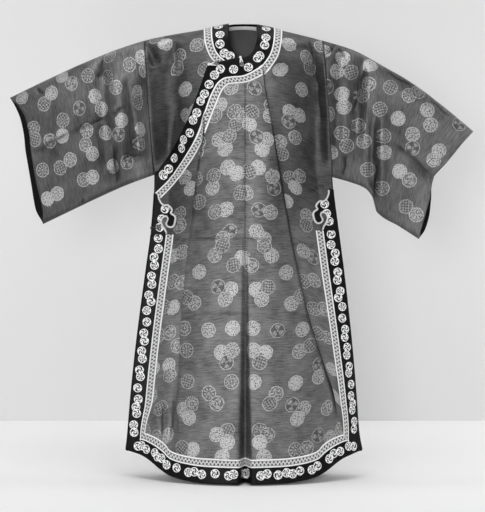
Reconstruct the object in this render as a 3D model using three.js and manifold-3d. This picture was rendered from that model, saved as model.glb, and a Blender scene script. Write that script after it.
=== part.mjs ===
// A silk tapestry robe with a round neck, a slanting front overlap, wide straight sleeves and side slits.
// It is shown filled out and with the sleeves held out, as a wearer would fill it. Sizes are in millimetres.
// X runs across the front, -Y is the front, and Z is measured up from the shoulders at the neck.
import * as THREE from "three";
import { mergeVertices } from "three/addons/utils/BufferGeometryUtils.js";
import Module from "manifold-3d";

const wasm = await Module();
wasm.setup();

// Driving sizes
const CLOTH = 2; // tapestry and lining together
const SATIN = 1; // borders, ribbons and other pieces sewn on the cloth
const SEAM_GAP = 0.3;
const BORDER_WIDTH = 48;
const TRIM_WIDTH = 22;
const SHOULDER_ROUND = 60; // how far below the top line the cloth has turned to hang
const SIDE_SEAM_DEPTH = 1.8; // half the space between front and back where the side is sewn
const SLIT_TOP = 560; // the side slits start this far down
const SLIT_GAPE = 12; // half the space between front and back at the foot of a slit
const SLIT_OPENS = 500; // the slit is fully open this far below its top
const BORDER_RISES = 90; // the side borders turn to the front within this much below the armpit
const FULLNESS = 1.9; // how flat the body stays across its middle before it falls back to the sides
const FOLD_ROOM = 30; // the long folds are at full depth where the cloth stands this far out
const SEAM_X = { front: 6, back: 0 }; // the panels' middle seams; the front one hangs a little to the right
const NECK = { halfWidth: 44, frontDrop: 94, backDrop: 7 };
const BEYOND = { x: 460, up: -80, down: 1500 }; // cutting outlines reach past the robe to here

// The top line from cuff to cuff, over both shoulders and the back of the neck.
const TOP_LINE = [
  { x: -699, z: -204 },
  { x: -594, z: -153 },
  { x: -489, z: -105 },
  { x: -381, z: -61 },
  { x: -279, z: -29 },
  { x: -180, z: -10 },
  { x: -120, z: 0 },
  { x: -93, z: 7 },
  { x: -44, z: 17 },
  { x: 0, z: 25 },
  { x: 44, z: 15 },
  { x: 91, z: 5 },
  { x: 118, z: -3 },
  { x: 147, z: -10 },
  { x: 231, z: -31 },
  { x: 327, z: -60 },
  { x: 423, z: -111 },
  { x: 507, z: -160 },
  { x: 591, z: -222 },
  { x: 690, z: -304 },
];

// The lower edge of each sleeve. The right one drops where its outer half hangs in a fold of its own.
const LEFT_UNDER_LINE = [
  { x: -700, z: -630 },
  { x: -600, z: -582 },
  { x: -513, z: -540 },
  { x: -429, z: -500 },
  { x: -345, z: -463 },
  { x: -266, z: -434 },
];
const RIGHT_UNDER_LINE = [
  { x: 268, z: -441 },
  { x: 327, z: -458 },
  { x: 366, z: -474 },
  { x: 388, z: -500 },
  { x: 402, z: -546 },
  { x: 471, z: -590 },
  { x: 528, z: -627 },
  { x: 700, z: -735 },
];

// Levels of the body, down from the shoulders: half widths, depth in front and behind, and how far the
// side borders turn away from the front, in degrees.
const BODY = [
  { down: 0, left: 276, right: 262, front: 58, back: 46, turnLeft: 20, turnRight: 20 },
  { down: 90, left: 276, right: 262, front: 74, back: 54, turnLeft: 20, turnRight: 20 },
  { down: 200, left: 274, right: 262, front: 88, back: 62, turnLeft: 20, turnRight: 20 },
  { down: 440, left: 266, right: 268, front: 98, back: 72, turnLeft: 18, turnRight: 22 },
  { down: 600, left: 275, right: 286, front: 104, back: 76, turnLeft: 18, turnRight: 25 },
  { down: 700, left: 288, right: 299, front: 108, back: 80, turnLeft: 18, turnRight: 29 },
  { down: 810, left: 303, right: 312, front: 113, back: 84, turnLeft: 18, turnRight: 36 },
  { down: 954, left: 321, right: 327, front: 121, back: 91, turnLeft: 18, turnRight: 46 },
  { down: 1098, left: 336, right: 339, front: 130, back: 99, turnLeft: 18, turnRight: 53 },
  { down: 1206, left: 345, right: 347, front: 138, back: 106, turnLeft: 20, turnRight: 52 },
  { down: 1260, left: 350, right: 356, front: 142, back: 110, turnLeft: 20, turnRight: 48 },
  { down: 1340, left: 354, right: 362, front: 148, back: 114, turnLeft: 20, turnRight: 46 },
];

// The hem, from the middle (out 0) to the corner of the slit (out 1).
const CORNER_DOWN = 1257;
const HEM = [
  { out: 0, down: 1338 },
  { out: 0.3, down: 1337 },
  { out: 0.5, down: 1331 },
  { out: 0.64, down: 1318 },
  { out: 0.74, down: 1295 },
  { out: 0.82, down: 1277 },
  { out: 0.9, down: 1266 },
  { out: 1, down: CORNER_DOWN },
];

// Depth of a sleeve in front of and behind its own middle, by distance from the centre of the robe.
const SLEEVE_DEPTH = [
  { out: 230, depth: 62 },
  { out: 330, depth: 58 },
  { out: 450, depth: 50 },
  { out: 600, depth: 40 },
  { out: 700, depth: 34 },
];
const SLEEVE_EDGE = { depth: 14, round: 22, taper: 230 }; // how a sleeve closes at its lower edge

// The front stands forward between two long tucks, and a groove opens at the middle towards the hem.
const TUCKS = [
  { down: 60, left: -112, right: 52, leftStep: 0, rightStep: 0, groove: 0, grooveHalf: 12 },
  { down: 150, left: -110, right: 57, leftStep: 0, rightStep: 12, groove: 0, grooveHalf: 12 },
  { down: 292, left: -111, right: 81, leftStep: 10, rightStep: 20, groove: 3, grooveHalf: 12 },
  { down: 420, left: -129, right: 102, leftStep: 16, rightStep: 24, groove: 3, grooveHalf: 12 },
  { down: 573, left: -146, right: 128, leftStep: 18, rightStep: 24, groove: 3, grooveHalf: 12 },
  { down: 699, left: -161, right: 152, leftStep: 19, rightStep: 24, groove: 5, grooveHalf: 12 },
  { down: 862, left: -176, right: 189, leftStep: 20, rightStep: 22, groove: 12, grooveHalf: 13 },
  { down: 1018, left: -183, right: 235, leftStep: 18, rightStep: 18, groove: 26, grooveHalf: 15 },
  { down: 1130, left: -190, right: 266, leftStep: 10, rightStep: 9, groove: 38, grooveHalf: 18 },
  { down: 1230, left: -186, right: 278, leftStep: 0, rightStep: 0, groove: 44, grooveHalf: 20 },
  { down: 1345, left: -186, right: 280, leftStep: 0, rightStep: 0, groove: 44, grooveHalf: 22 },
];
const TUCK_CLIFF = 10; // a tuck falls away over this width
const TUCK_RECOVERY = 55; // and the cloth beyond has recovered after this much more
const TUCK_UNDERCUT = 0.3;

// Long soft folds: a trough has a depth above 0 and a ridge one below 0. The side is the face it is on.
const FOLDS = [
  { side: "front", x1: -292, down1: 39, x2: -250, down2: 112, width: 15, depth: 14 },
  { side: "front", x1: -208, down1: 48, x2: -212, down2: 130, width: 18, depth: 8 },
  { side: "front", x1: -196, down1: 215, x2: -228, down2: 380, width: 22, depth: 10 },
  { side: "front", x1: -420, down1: 84, x2: -402, down2: 440, width: 24, depth: 16 },
  { side: "front", x1: -343, down1: 150, x2: -308, down2: 372, width: 16, depth: 12 },
  { side: "front", x1: -284, down1: 130, x2: -270, down2: 400, width: 16, depth: -14 },
  { side: "front", x1: -560, down1: 372, x2: -660, down2: 415, width: 22, depth: 7 },
  { side: "front", x1: 291, down1: 60, x2: 276, down2: 370, width: 18, depth: 13 },
  { side: "front", x1: 243, down1: 110, x2: 262, down2: 425, width: 16, depth: -14 },
  { side: "front", x1: 356, down1: 96, x2: 336, down2: 330, width: 15, depth: 11 },
  { side: "front", x1: 386, down1: 260, x2: 388, down2: 505, width: 13, depth: 13 },
  { side: "front", x1: 412, down1: 250, x2: 410, down2: 520, width: 14, depth: -9 },
  { side: "front", x1: 500, down1: 400, x2: 590, down2: 445, width: 18, depth: 10 },
  { side: "back", x1: -240, down1: 60, x2: -215, down2: 420, width: 22, depth: 12 },
  { side: "back", x1: 235, down1: 60, x2: 222, down2: 430, width: 22, depth: 12 },
  { side: "back", x1: -120, down1: 260, x2: -170, down2: 1200, width: 26, depth: 12 },
  { side: "back", x1: 105, down1: 220, x2: 182, down2: 1220, width: 28, depth: 14 },
  { side: "back", x1: -400, down1: 90, x2: -385, down2: 430, width: 24, depth: 13 },
  { side: "back", x1: 350, down1: 90, x2: 345, down2: 430, width: 24, depth: 12 },
  { side: "back", x1: -530, down1: 160, x2: -505, down2: 500, width: 22, depth: 8 },
  { side: "back", x1: 500, down1: 190, x2: 470, down2: 540, width: 22, depth: 8 },
];

// Where the sleeves join the body: straight lines from the top line to the armpit.
const LEFT_ARMHOLE = { topX: -292, bottomX: -266 };
const RIGHT_ARMHOLE = { topX: 236, bottomX: 268 };
const LEFT_CUFF = { topX: -699, bottomX: -600 };
const RIGHT_CUFF = { topX: 690, bottomX: 528 };

// The cuff edges bow in towards the body, by a different amount on the front and back of the sleeve.
const LEFT_CUFF_BOW = [
  { down: 0, front: 0, back: 0 },
  { down: 0.17, front: 28, back: 10 },
  { down: 0.3, front: 24, back: 7 },
  { down: 0.45, front: 13, back: -1 },
  { down: 0.75, front: 5, back: -9 },
  { down: 0.9, front: 2, back: -13 },
  { down: 1, front: 0, back: 0 },
];
const RIGHT_CUFF_BOW = [
  { down: 0, front: 0, back: 0 },
  { down: 0.12, front: 14, back: 12 },
  { down: 0.29, front: 30, back: 28 },
  { down: 0.42, front: 41, back: 38 },
  { down: 0.64, front: 22, back: 15 },
  { down: 0.8, front: 9, back: -2 },
  { down: 0.92, front: 0, back: -7 },
  { down: 1, front: 0, back: 0 },
];
const CUFF_FACING = 55; // width of the dark facing inside each cuff

// The free edge of the overlap, from the front of the neck to the armpit.
const OVERLAP_EDGE = [
  { x: -20, down: 92 },
  { x: -56, down: 108 },
  { x: -88, down: 109 },
  { x: -103, down: 116 },
  { x: -110, down: 134 },
  { x: -123, down: 172 },
  { x: -139, down: 217 },
  { x: -156, down: 262 },
  { x: -178, down: 305 },
  { x: -207, down: 355 },
  { x: -230, down: 390 },
  { x: -251, down: 419 },
  { x: -266, down: 436 },
];
// The lower edge of the satin band and of the ribbon beside it, from the right of the neck to the side.
const BAND_EDGE = [
  { x: 93, down: -30 },
  { x: 92, down: 13 },
  { x: 88, down: 58 },
  { x: 73, down: 96 },
  { x: 44, down: 128 },
  { x: 6, down: 149 },
  { x: -32, down: 153 },
  { x: -62, down: 158 },
  { x: -82, down: 181 },
  { x: -97, down: 213 },
  { x: -112, down: 258 },
  { x: -127, down: 302 },
  { x: -144, down: 340 },
  { x: -165, down: 375 },
  { x: -191, down: 413 },
  { x: -226, down: 455 },
  { x: -262, down: 492 },
];
const RIBBON_EDGE = [
  { x: 117, down: -30 },
  { x: 115, down: 17 },
  { x: 112, down: 58 },
  { x: 97, down: 102 },
  { x: 65, down: 143 },
  { x: 18, down: 168 },
  { x: -26, down: 173 },
  { x: -50, down: 178 },
  { x: -64, down: 198 },
  { x: -76, down: 228 },
  { x: -91, down: 266 },
  { x: -105, down: 304 },
  { x: -122, down: 344 },
  { x: -144, down: 384 },
  { x: -173, down: 424 },
  { x: -206, down: 464 },
  { x: -246, down: 505 },
];

// The edge of the cloud head at the top of each slit, in from the side seam and down from its tip. It runs
// over two lobes, curls in round a hook of the tapestry and comes back out to the border's inner edge.
const CLOUD_EDGE = [
  { inward: -4, down: -6 },
  { inward: 10, down: 13 },
  { inward: 19, down: 22 },
  { inward: 31, down: 23 },
  { inward: 42, down: 29 },
  { inward: 48, down: 39 },
  { inward: 45, down: 50 },
  { inward: 56, down: 55 },
  { inward: 62, down: 64 },
  { inward: 63, down: 75 },
  { inward: 59, down: 85 },
  { inward: 50, down: 91 },
  { inward: 41, down: 89 },
  { inward: 33, down: 82 },
  { inward: 36, down: 70 },
  { inward: 34, down: 61 },
  { inward: 25, down: 57 },
  { inward: 15, down: 61 },
  { inward: 11, down: 70 },
  { inward: 15, down: 82 },
  { inward: 22, down: 93 },
  { inward: 33, down: 103 },
  { inward: 46, down: 111 },
];
const PIPING_WIDTH = 5;
const LEFT_CLOUD_TIP = 500;
const RIGHT_CLOUD_TIP = 488;

const BUTTON_RADIUS = 5.5;
const LOOP = { length: 30, width: 8, thick: 2.5 };
// Each button sits on its cloth loop, on the satin; the loop turns by an angle from pointing sideways.
const BUTTON_FOOT = 2.9; // from the middle of the cloth to the foot of a loop
const BUTTONS = [
  { name: "neck", x: -9, down: 103, turn: -70 },
  { name: "collar", x: -91, down: 123, turn: 25 },
  { name: "side", x: -262, down: 592, turn: 10 },
];

const COLOURS = {
  tapestry: 0x808080,
  satin: 0x141414,
  ribbon: 0xc4c4c4,
  facing: 0x0c0c0c,
  tape: 0xb4b4b4,
  metal: 0xc8c4ba,
};

// Arithmetic

const clamp01 = (t) => Math.min(1, Math.max(0, t));
const mix = (a, b, t) => a + (b - a) * t;
const ease = (t) => clamp01(t) ** 2 * (3 - 2 * clamp01(t));
const radians = (degrees) => (degrees * Math.PI) / 180;

// A smooth curve through one column of a table, read by another column. It is flat beyond the ends.
function through(rows, by, column) {
  const at = rows.map((row) => row[by]);
  const value = rows.map((row) => row[column]);
  const last = at.length - 1;
  const chord = (i) => (value[i + 1] - value[i]) / (at[i + 1] - at[i]);
  const slope = at.map((_, i) => {
    if (i === 0 || i === last) return chord(Math.min(i, last - 1));
    const before = chord(i - 1);
    const after = chord(i);
    return before * after <= 0 ? 0 : (2 * before * after) / (before + after);
  });
  return (x) => {
    if (x <= at[0]) return value[0];
    if (x >= at[last]) return value[last];
    let i = 0;
    while (x > at[i + 1]) i += 1;
    const span = at[i + 1] - at[i];
    const t = (x - at[i]) / span;
    const rise = value[i + 1] - value[i];
    const a = slope[i] * span - rise;
    const b = rise - slope[i + 1] * span;
    return value[i] + rise * t + t * (1 - t) * (a * (1 - t) + b * t);
  };
}

const topLine = through(TOP_LINE, "x", "z");
const leftUnder = through(LEFT_UNDER_LINE, "x", "z");
const rightUnder = through(RIGHT_UNDER_LINE, "x", "z");
const underLine = (x) => (x < 0 ? leftUnder(x) : rightUnder(x));
const sleeveDepth = through(SLEEVE_DEPTH, "out", "depth");
const hemDown = through(HEM, "out", "down");
const body = Object.fromEntries(Object.keys(BODY[0]).map((key) => [key, through(BODY, "down", key)]));
const tuck = Object.fromEntries(Object.keys(TUCKS[0]).map((key) => [key, through(TUCKS, "down", key)]));

// The cloth's form: how far the front or back stands from the plane of the shoulders

function armholeX(armhole, z) {
  const top = topLine(armhole.topX);
  const bottom = underLine(armhole.bottomX);
  return mix(armhole.topX, armhole.bottomX, (z - top) / (bottom - top));
}

const turnedOver = (drop, radius) => Math.sqrt(1 - (1 - clamp01(drop / radius)) ** 2);

function sleeveForm(x, z) {
  const above = z - underLine(x);
  const full = sleeveDepth(Math.abs(x));
  const edge = SLEEVE_EDGE.depth * turnedOver(above, SLEEVE_EDGE.round);
  return edge + (full - SLEEVE_EDGE.depth) * ease(above / SLEEVE_EDGE.taper);
}

const armpitDown = (side) => -underLine(side < 0 ? LEFT_ARMHOLE.bottomX : RIGHT_ARMHOLE.bottomX);

// Half the space left between front and back along the side of the body.
function sideForm(down, side) {
  const armhole = side < 0 ? LEFT_ARMHOLE : RIGHT_ARMHOLE;
  if (down < armpitDown(side)) {
    return Math.max(SIDE_SEAM_DEPTH, sleeveForm(armholeX(armhole, -down), -down));
  }
  return mix(SIDE_SEAM_DEPTH, SLIT_GAPE, ease((down - SLIT_TOP) / SLIT_OPENS));
}

function bodyForm(x, z, face) {
  const down = -z;
  const side = x < 0 ? -1 : 1;
  const half = side < 0 ? body.left(down) : body.right(down);
  const below = ease((down - armpitDown(side)) / BORDER_RISES);
  const turn = radians(side < 0 ? body.turnLeft(down) : body.turnRight(down));
  const seen = BORDER_WIDTH * Math.cos(turn);
  const rise = BORDER_WIDTH * Math.sin(turn) * below;
  const edge = sideForm(down, side);
  const out = Math.abs(x);
  const middle = face === "front" ? body.front(down) : body.back(down);
  if (out > half - seen) return edge + rise * clamp01((half - out) / seen);
  const share = out / (half - seen);
  return middle - (middle - edge - rise) * share ** FULLNESS;
}

// A tuck stands at its full step up to its line, falls away at once and recovers slowly.
function tuckProfile(beyond) {
  if (beyond <= 0) return 1;
  if (beyond < TUCK_CLIFF) return mix(1, -TUCK_UNDERCUT, ease(beyond / TUCK_CLIFF));
  return -TUCK_UNDERCUT * (1 - ease((beyond - TUCK_CLIFF) / TUCK_RECOVERY));
}

function frontTucks(x, z) {
  const down = -z;
  const left = tuck.leftStep(down) * tuckProfile(tuck.left(down) - x);
  const right = tuck.rightStep(down) * tuckProfile(x - tuck.right(down));
  const split = ease((x - tuck.left(down)) / Math.max(1, tuck.right(down) - tuck.left(down)));
  const groove = tuck.groove(down) * (1 - ease(Math.abs(x - SEAM_X.front) / tuck.grooveHalf(down)));
  return mix(left, right, split) - groove;
}

// How deep the long folds are at a point. Each fades over FOLD_FADE of its length, from just past its ends.
const FOLD_PAST = 0.12;
const FOLD_FADE = 0.3;
function foldDepth(x, z, face) {
  let sum = 0;
  for (const fold of FOLDS) {
    if (fold.side !== face) continue;
    const alongX = fold.x2 - fold.x1;
    const alongZ = fold.down1 - fold.down2;
    const length = Math.hypot(alongX, alongZ);
    const t = ((x - fold.x1) * alongX + (z + fold.down1) * alongZ) / length ** 2;
    const off = ((x - fold.x1) * alongZ - (z + fold.down1) * alongX) / length;
    const fade = ease((t + FOLD_PAST) / FOLD_FADE) * ease((1 + FOLD_PAST - t) / FOLD_FADE);
    sum += fold.depth * fade * Math.exp(-((off / fold.width) ** 2));
  }
  return sum;
}

function form(x, z, face) {
  const onSleeve = x < armholeX(LEFT_ARMHOLE, z) || x > armholeX(RIGHT_ARMHOLE, z);
  const sleeveHere = onSleeve && z > underLine(x) - 1;
  const plain = sleeveHere ? sleeveForm(x, z) : bodyForm(x, z, face);
  const tucks = face === "front" && !sleeveHere ? frontTucks(x, z) : 0;
  const room = ease(plain / FOLD_ROOM);
  return (plain + tucks - foldDepth(x, z, face) * room) * turnedOver(topLine(x) - z, SHOULDER_ROUND);
}

function clothPoint(x, z, face) {
  const depth = form(x, z, face) + SEAM_GAP / 2;
  return new THREE.Vector3(x, face === "front" ? -depth : depth, z);
}

// Rows and columns of the body's sheets

const ROUND_ROWS = [0, 0.076, 0.293, 0.617, 1]; // share of the shoulder's round at each row
const CHEST_ROWS = 7;
const SKIRT_ROWS = 10;

function hemZ(x) {
  const half = x < 0 ? body.left(CORNER_DOWN) : body.right(CORNER_DOWN);
  return -hemDown(clamp01(Math.abs(x) / half));
}

// Height of a row at a place across the body.
function rowHeight(x, row) {
  if (row < ROUND_ROWS.length) return topLine(x) - SHOULDER_ROUND * ROUND_ROWS[row];
  const shoulder = topLine(x) - SHOULDER_ROUND;
  const across = (x - LEFT_ARMHOLE.bottomX) / (RIGHT_ARMHOLE.bottomX - LEFT_ARMHOLE.bottomX);
  const armpit = -mix(armpitDown(-1), armpitDown(1), clamp01(across));
  const trim = hemZ(x) + BORDER_WIDTH + TRIM_WIDTH;
  const below = row - ROUND_ROWS.length + 1;
  if (below <= CHEST_ROWS) return mix(shoulder, armpit, below / CHEST_ROWS);
  if (below <= CHEST_ROWS + SKIRT_ROWS) return mix(armpit, trim, (below - CHEST_ROWS) / SKIRT_ROWS);
  return below === CHEST_ROWS + SKIRT_ROWS + 1 ? hemZ(x) + BORDER_WIDTH : hemZ(x);
}
const BODY_ROWS = ROUND_ROWS.length + CHEST_ROWS + SKIRT_ROWS + 2;
const ARMPIT_ROW = ROUND_ROWS.length - 1 + CHEST_ROWS;

// The outer end of a row, on the armhole above the armpit and on the side below it.
function rowEnd(row, side) {
  const armhole = side < 0 ? LEFT_ARMHOLE : RIGHT_ARMHOLE;
  let x = armhole.bottomX;
  for (let pass = 0; pass < 8; pass += 1) {
    const z = rowHeight(x, row);
    if (row <= ARMPIT_ROW) x = armholeX(armhole, z);
    else x = side * (side < 0 ? body.left(-z) : body.right(-z));
  }
  return x;
}

// Places across a row: borders and ribbons at the sides, tucks and the middle groove between them.
function frontPlaces(row) {
  const left = rowEnd(row, -1);
  const right = rowEnd(row, 1);
  const down = -rowHeight(0, row);
  const leftSeen = BORDER_WIDTH * Math.cos(radians(body.turnLeft(down)));
  const rightSeen = BORDER_WIDTH * Math.cos(radians(body.turnRight(down)));
  const marks = [
    { x: left, steps: 1 },
    { x: left + leftSeen, steps: 1 },
    { x: left + leftSeen + TRIM_WIDTH, steps: 3 },
    { x: tuck.left(down) - TUCK_CLIFF, steps: 1 },
    { x: tuck.left(down), steps: 3 },
    { x: SEAM_X.front - tuck.grooveHalf(down), steps: 1 },
    { x: SEAM_X.front, steps: 1 },
    { x: SEAM_X.front + tuck.grooveHalf(down), steps: 3 },
    { x: tuck.right(down), steps: 1 },
    { x: Math.min(tuck.right(down) + TUCK_CLIFF, right - rightSeen - TRIM_WIDTH - 4), steps: 3 },
    { x: right - rightSeen - TRIM_WIDTH, steps: 1 },
    { x: right - rightSeen, steps: 1 },
    { x: right, steps: 0 },
  ];
  return spread(marks);
}

function backPlaces(row) {
  const left = rowEnd(row, -1);
  const right = rowEnd(row, 1);
  const down = -rowHeight(0, row);
  const leftSeen = BORDER_WIDTH * Math.cos(radians(body.turnLeft(down)));
  const rightSeen = BORDER_WIDTH * Math.cos(radians(body.turnRight(down)));
  return spread([
    { x: left, steps: 1 },
    { x: left + leftSeen, steps: 1 },
    { x: left + leftSeen + TRIM_WIDTH, steps: 6 },
    { x: 0, steps: 6 },
    { x: right - rightSeen - TRIM_WIDTH, steps: 1 },
    { x: right - rightSeen, steps: 1 },
    { x: right, steps: 0 },
  ]);
}

function spread(marks) {
  const places = [];
  marks.forEach((mark, i) => {
    for (let step = 0; step < mark.steps; step += 1) {
      places.push(mix(mark.x, marks[i + 1].x, step / mark.steps));
    }
  });
  places.push(marks[marks.length - 1].x);
  return places;
}

function bodySheet(face) {
  const places = face === "front" ? frontPlaces : backPlaces;
  const sheet = [];
  for (let row = 0; row < BODY_ROWS; row += 1) {
    sheet.push(places(row).map((x) => clothPoint(x, rowHeight(x, row), face)));
  }
  return sheet;
}

// Closed walls from sheets of points

// The way out of the cloth at each point of a sheet. Seam planes keep the edges of joined pieces apart.
function outward(sheet, face, ring, seamPlane) {
  const rows = sheet.length;
  const columns = sheet[0].length;
  return sheet.map((line, r) =>
    line.map((_, c) => {
      const above = sheet[Math.max(0, r - 1)][c];
      const beneath = sheet[Math.min(rows - 1, r + 1)][c];
      const before = ring ? line[(c + columns - 1) % columns] : line[Math.max(0, c - 1)];
      const after = ring ? line[(c + 1) % columns] : line[Math.min(columns - 1, c + 1)];
      const normal = new THREE.Vector3()
        .subVectors(after, before)
        .cross(new THREE.Vector3().subVectors(beneath, above))
        .normalize();
      if (face === "front") normal.negate();
      const plane = seamPlane(r, c);
      if (plane) normal.addScaledVector(plane, -normal.dot(plane)).normalize();
      return normal;
    }),
  );
}

// A closed wall between two distances from a sheet: lift(point) moves it, and it is `thick` through.
function wall(sheet, normals, ring, lift, thick) {
  const rows = sheet.length;
  const columns = sheet[0].length;
  const points = [];
  const layer = (sign) =>
    sheet.forEach((line, r) =>
      line.forEach((p, c) => {
        const moved = p.clone().addScaledVector(normals[r][c], lift(p) + (sign * thick) / 2);
        points.push(moved.x, moved.y, moved.z);
      }),
    );
  layer(1);
  layer(-1);
  const outer = (r, c) => r * columns + (c % columns);
  const inner = (r, c) => rows * columns + outer(r, c);
  const faces = [];
  const quad = (a, b, c, d) => faces.push(a, b, c, a, c, d);
  const across = ring ? columns : columns - 1;
  for (let r = 0; r < rows - 1; r += 1) {
    for (let c = 0; c < across; c += 1) {
      quad(outer(r, c), outer(r + 1, c), outer(r + 1, c + 1), outer(r, c + 1));
      quad(inner(r, c), inner(r, c + 1), inner(r + 1, c + 1), inner(r + 1, c));
    }
  }
  for (let c = 0; c < across; c += 1) {
    quad(outer(0, c), outer(0, c + 1), inner(0, c + 1), inner(0, c));
    quad(outer(rows - 1, c), inner(rows - 1, c), inner(rows - 1, c + 1), outer(rows - 1, c + 1));
  }
  for (let r = 0; !ring && r < rows - 1; r += 1) {
    const end = columns - 1;
    quad(outer(r, 0), inner(r, 0), inner(r + 1, 0), outer(r + 1, 0));
    quad(outer(r, end), outer(r + 1, end), inner(r + 1, end), inner(r, end));
  }
  return solidFrom(new Float32Array(points), faces);
}

function volumeOf(points, faces) {
  const corner = (i) => new THREE.Vector3().fromArray(points, 3 * faces[i]);
  let sum = 0;
  for (let i = 0; i < faces.length; i += 3) sum += corner(i).dot(corner(i + 1).cross(corner(i + 2)));
  return sum / 6;
}

function solidFrom(points, faces) {
  const turned = volumeOf(points, faces) < 0;
  const triVerts = new Uint32Array(faces);
  for (let i = 0; turned && i < triVerts.length; i += 3) {
    [triVerts[i + 1], triVerts[i + 2]] = [triVerts[i + 2], triVerts[i + 1]];
  }
  return new wasm.Manifold(new wasm.Mesh({ numProp: 3, vertProperties: points, triVerts }));
}

function solidOf(geometry) {
  const bare = geometry.clone();
  bare.deleteAttribute("normal");
  bare.deleteAttribute("uv");
  const merged = mergeVertices(bare, 1e-4);
  return solidFrom(merged.attributes.position.array, Array.from(merged.index.array));
}

function geometryOf(solid) {
  const mesh = solid.getMesh();
  const geometry = new THREE.BufferGeometry();
  geometry.setAttribute("position", new THREE.BufferAttribute(mesh.vertProperties, 3));
  geometry.setIndex(new THREE.BufferAttribute(mesh.triVerts, 1));
  geometry.computeVertexNormals();
  return geometry;
}

// A block with the given outline seen from the front, reaching through the front or the back.
function block(outline, face) {
  const shape = new THREE.Shape(outline.map((p) => new THREE.Vector2(p.x, -p.down)));
  const reach = 260;
  const geometry = new THREE.ExtrudeGeometry(shape, { depth: reach, bevelEnabled: false });
  geometry.rotateX(Math.PI / 2);
  if (face === "back") geometry.translate(0, reach, 0);
  return solidOf(geometry);
}

const group = new THREE.Group();

function addPiece(name, solid, colour, roughness = 0.8, metalness = 0) {
  const parts = solid.decompose().sort((a, b) => b.volume() - a.volume());
  const material = new THREE.MeshStandardMaterial({ color: colour, roughness, metalness });
  const mesh = new THREE.Mesh(geometryOf(parts[0]), material);
  mesh.name = name;
  group.add(mesh);
}

// Body sheets and the way out of them

const FRONT_TO_BACK = new THREE.Vector3(0, 1, 0);

function armholePlane(armhole) {
  const rise = topLine(armhole.topX) - underLine(armhole.bottomX);
  return new THREE.Vector3(rise, 0, armhole.bottomX - armhole.topX).normalize();
}

function bodySeams(columns) {
  return (r, c) => {
    if (r === 0) return FRONT_TO_BACK;
    if (r <= ARMPIT_ROW && c === 0) return armholePlane(LEFT_ARMHOLE);
    if (r <= ARMPIT_ROW && c === columns - 1) return armholePlane(RIGHT_ARMHOLE);
    return null;
  };
}

const frontSheet = bodySheet("front");
const frontOut = outward(frontSheet, "front", false, bodySeams(frontSheet[0].length));
const backSheet = bodySheet("back");
const backOut = outward(backSheet, "back", false, bodySeams(backSheet[0].length));

const sewnOn = CLOTH / 2 + SEAM_GAP + SATIN / 2; // from the middle of the cloth to the middle of the satin
const frontSatin = wall(frontSheet, frontOut, false, () => sewnOn, SATIN);
const backSatin = wall(backSheet, backOut, false, () => sewnOn, SATIN);

// The neck hole: straight sides and a round lower edge.
function neckOutline(grow, drop) {
  const half = NECK.halfWidth + grow;
  const depth = drop + grow;
  const outline = [{ x: half, down: -60 }];
  const turnAt = Math.min(depth * 0.4, 30);
  const steps = 14;
  for (let i = 0; i <= steps; i += 1) {
    const angle = (Math.PI * i) / steps;
    outline.push({ x: half * Math.cos(angle), down: turnAt + (depth - turnAt) * Math.sin(angle) });
  }
  outline.push({ x: -half, down: -60 });
  return outline;
}
const neckFront = block(neckOutline(0, NECK.frontDrop), "front");
const neckBack = block(neckOutline(0, NECK.backDrop - topLine(0)), "back");

// A band's outline: a line with half of the width laid off on each side of it.
function along(line, width) {
  const sides = line.map((p, i) => {
    const before = line[Math.max(0, i - 1)];
    const after = line[Math.min(line.length - 1, i + 1)];
    const length = Math.hypot(after.x - before.x, after.down - before.down);
    return { x: (after.down - before.down) / length, down: (before.x - after.x) / length };
  });
  const laid = (half) =>
    line.map((p, i) => ({ x: p.x + half * sides[i].x, down: p.down + half * sides[i].down }));
  return [...laid(width / 2), ...laid(-width / 2).reverse()];
}

// The inner edge of the border, `inset` further in: down the left side, along the hem and up the right side.
function borderEdge(inset, top) {
  const seen = (turn, down) => (BORDER_WIDTH + inset) * Math.cos(radians(turn(down)));
  const levels = [660, 720, 800, 880, 960, 1040, 1120, 1190];
  const sides = levels.map((down) => ({
    down,
    left: -body.left(down) + seen(body.turnLeft, down),
    right: body.right(down) - seen(body.turnRight, down),
  }));
  const hem = [-0.83, -0.74, -0.62, -0.5, -0.36, -0.2, 0, 0.2, 0.36, 0.5, 0.62, 0.74, 0.83];
  const rightHalf = body.right(CORNER_DOWN);
  const leftHalf = body.left(CORNER_DOWN);
  return [
    { x: sides[0].left, down: top.left },
    ...sides.map((row) => ({ x: row.left, down: row.down })),
    ...hem.map((out) => {
      const x = out * (out < 0 ? leftHalf : rightHalf);
      return { x, down: hemDown(Math.abs(out)) - BORDER_WIDTH - inset };
    }),
    ...sides.reverse().map((row) => ({ x: row.right, down: row.down })),
    { x: sides[sides.length - 1].right, down: top.right },
  ];
}

function cloudEdge(side, tip) {
  return CLOUD_EDGE.map(({ inward, down }) => {
    const half = side < 0 ? body.left(tip + down) : body.right(tip + down);
    return { x: side * (half - inward), down: tip + down };
  });
}

// Front with the overlap, in two panels joined down the middle, and the underlap behind it

// The space on one side of a middle seam, kept half a seam gap away from it.
function besideSeam(side, face) {
  const seam = SEAM_X[face] + (side * SEAM_GAP) / 2;
  return block(
    [
      { x: seam, down: BEYOND.up },
      { x: side * BEYOND.x, down: BEYOND.up },
      { x: side * BEYOND.x, down: BEYOND.down },
      { x: seam, down: BEYOND.down },
    ],
    face,
  );
}

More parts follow.
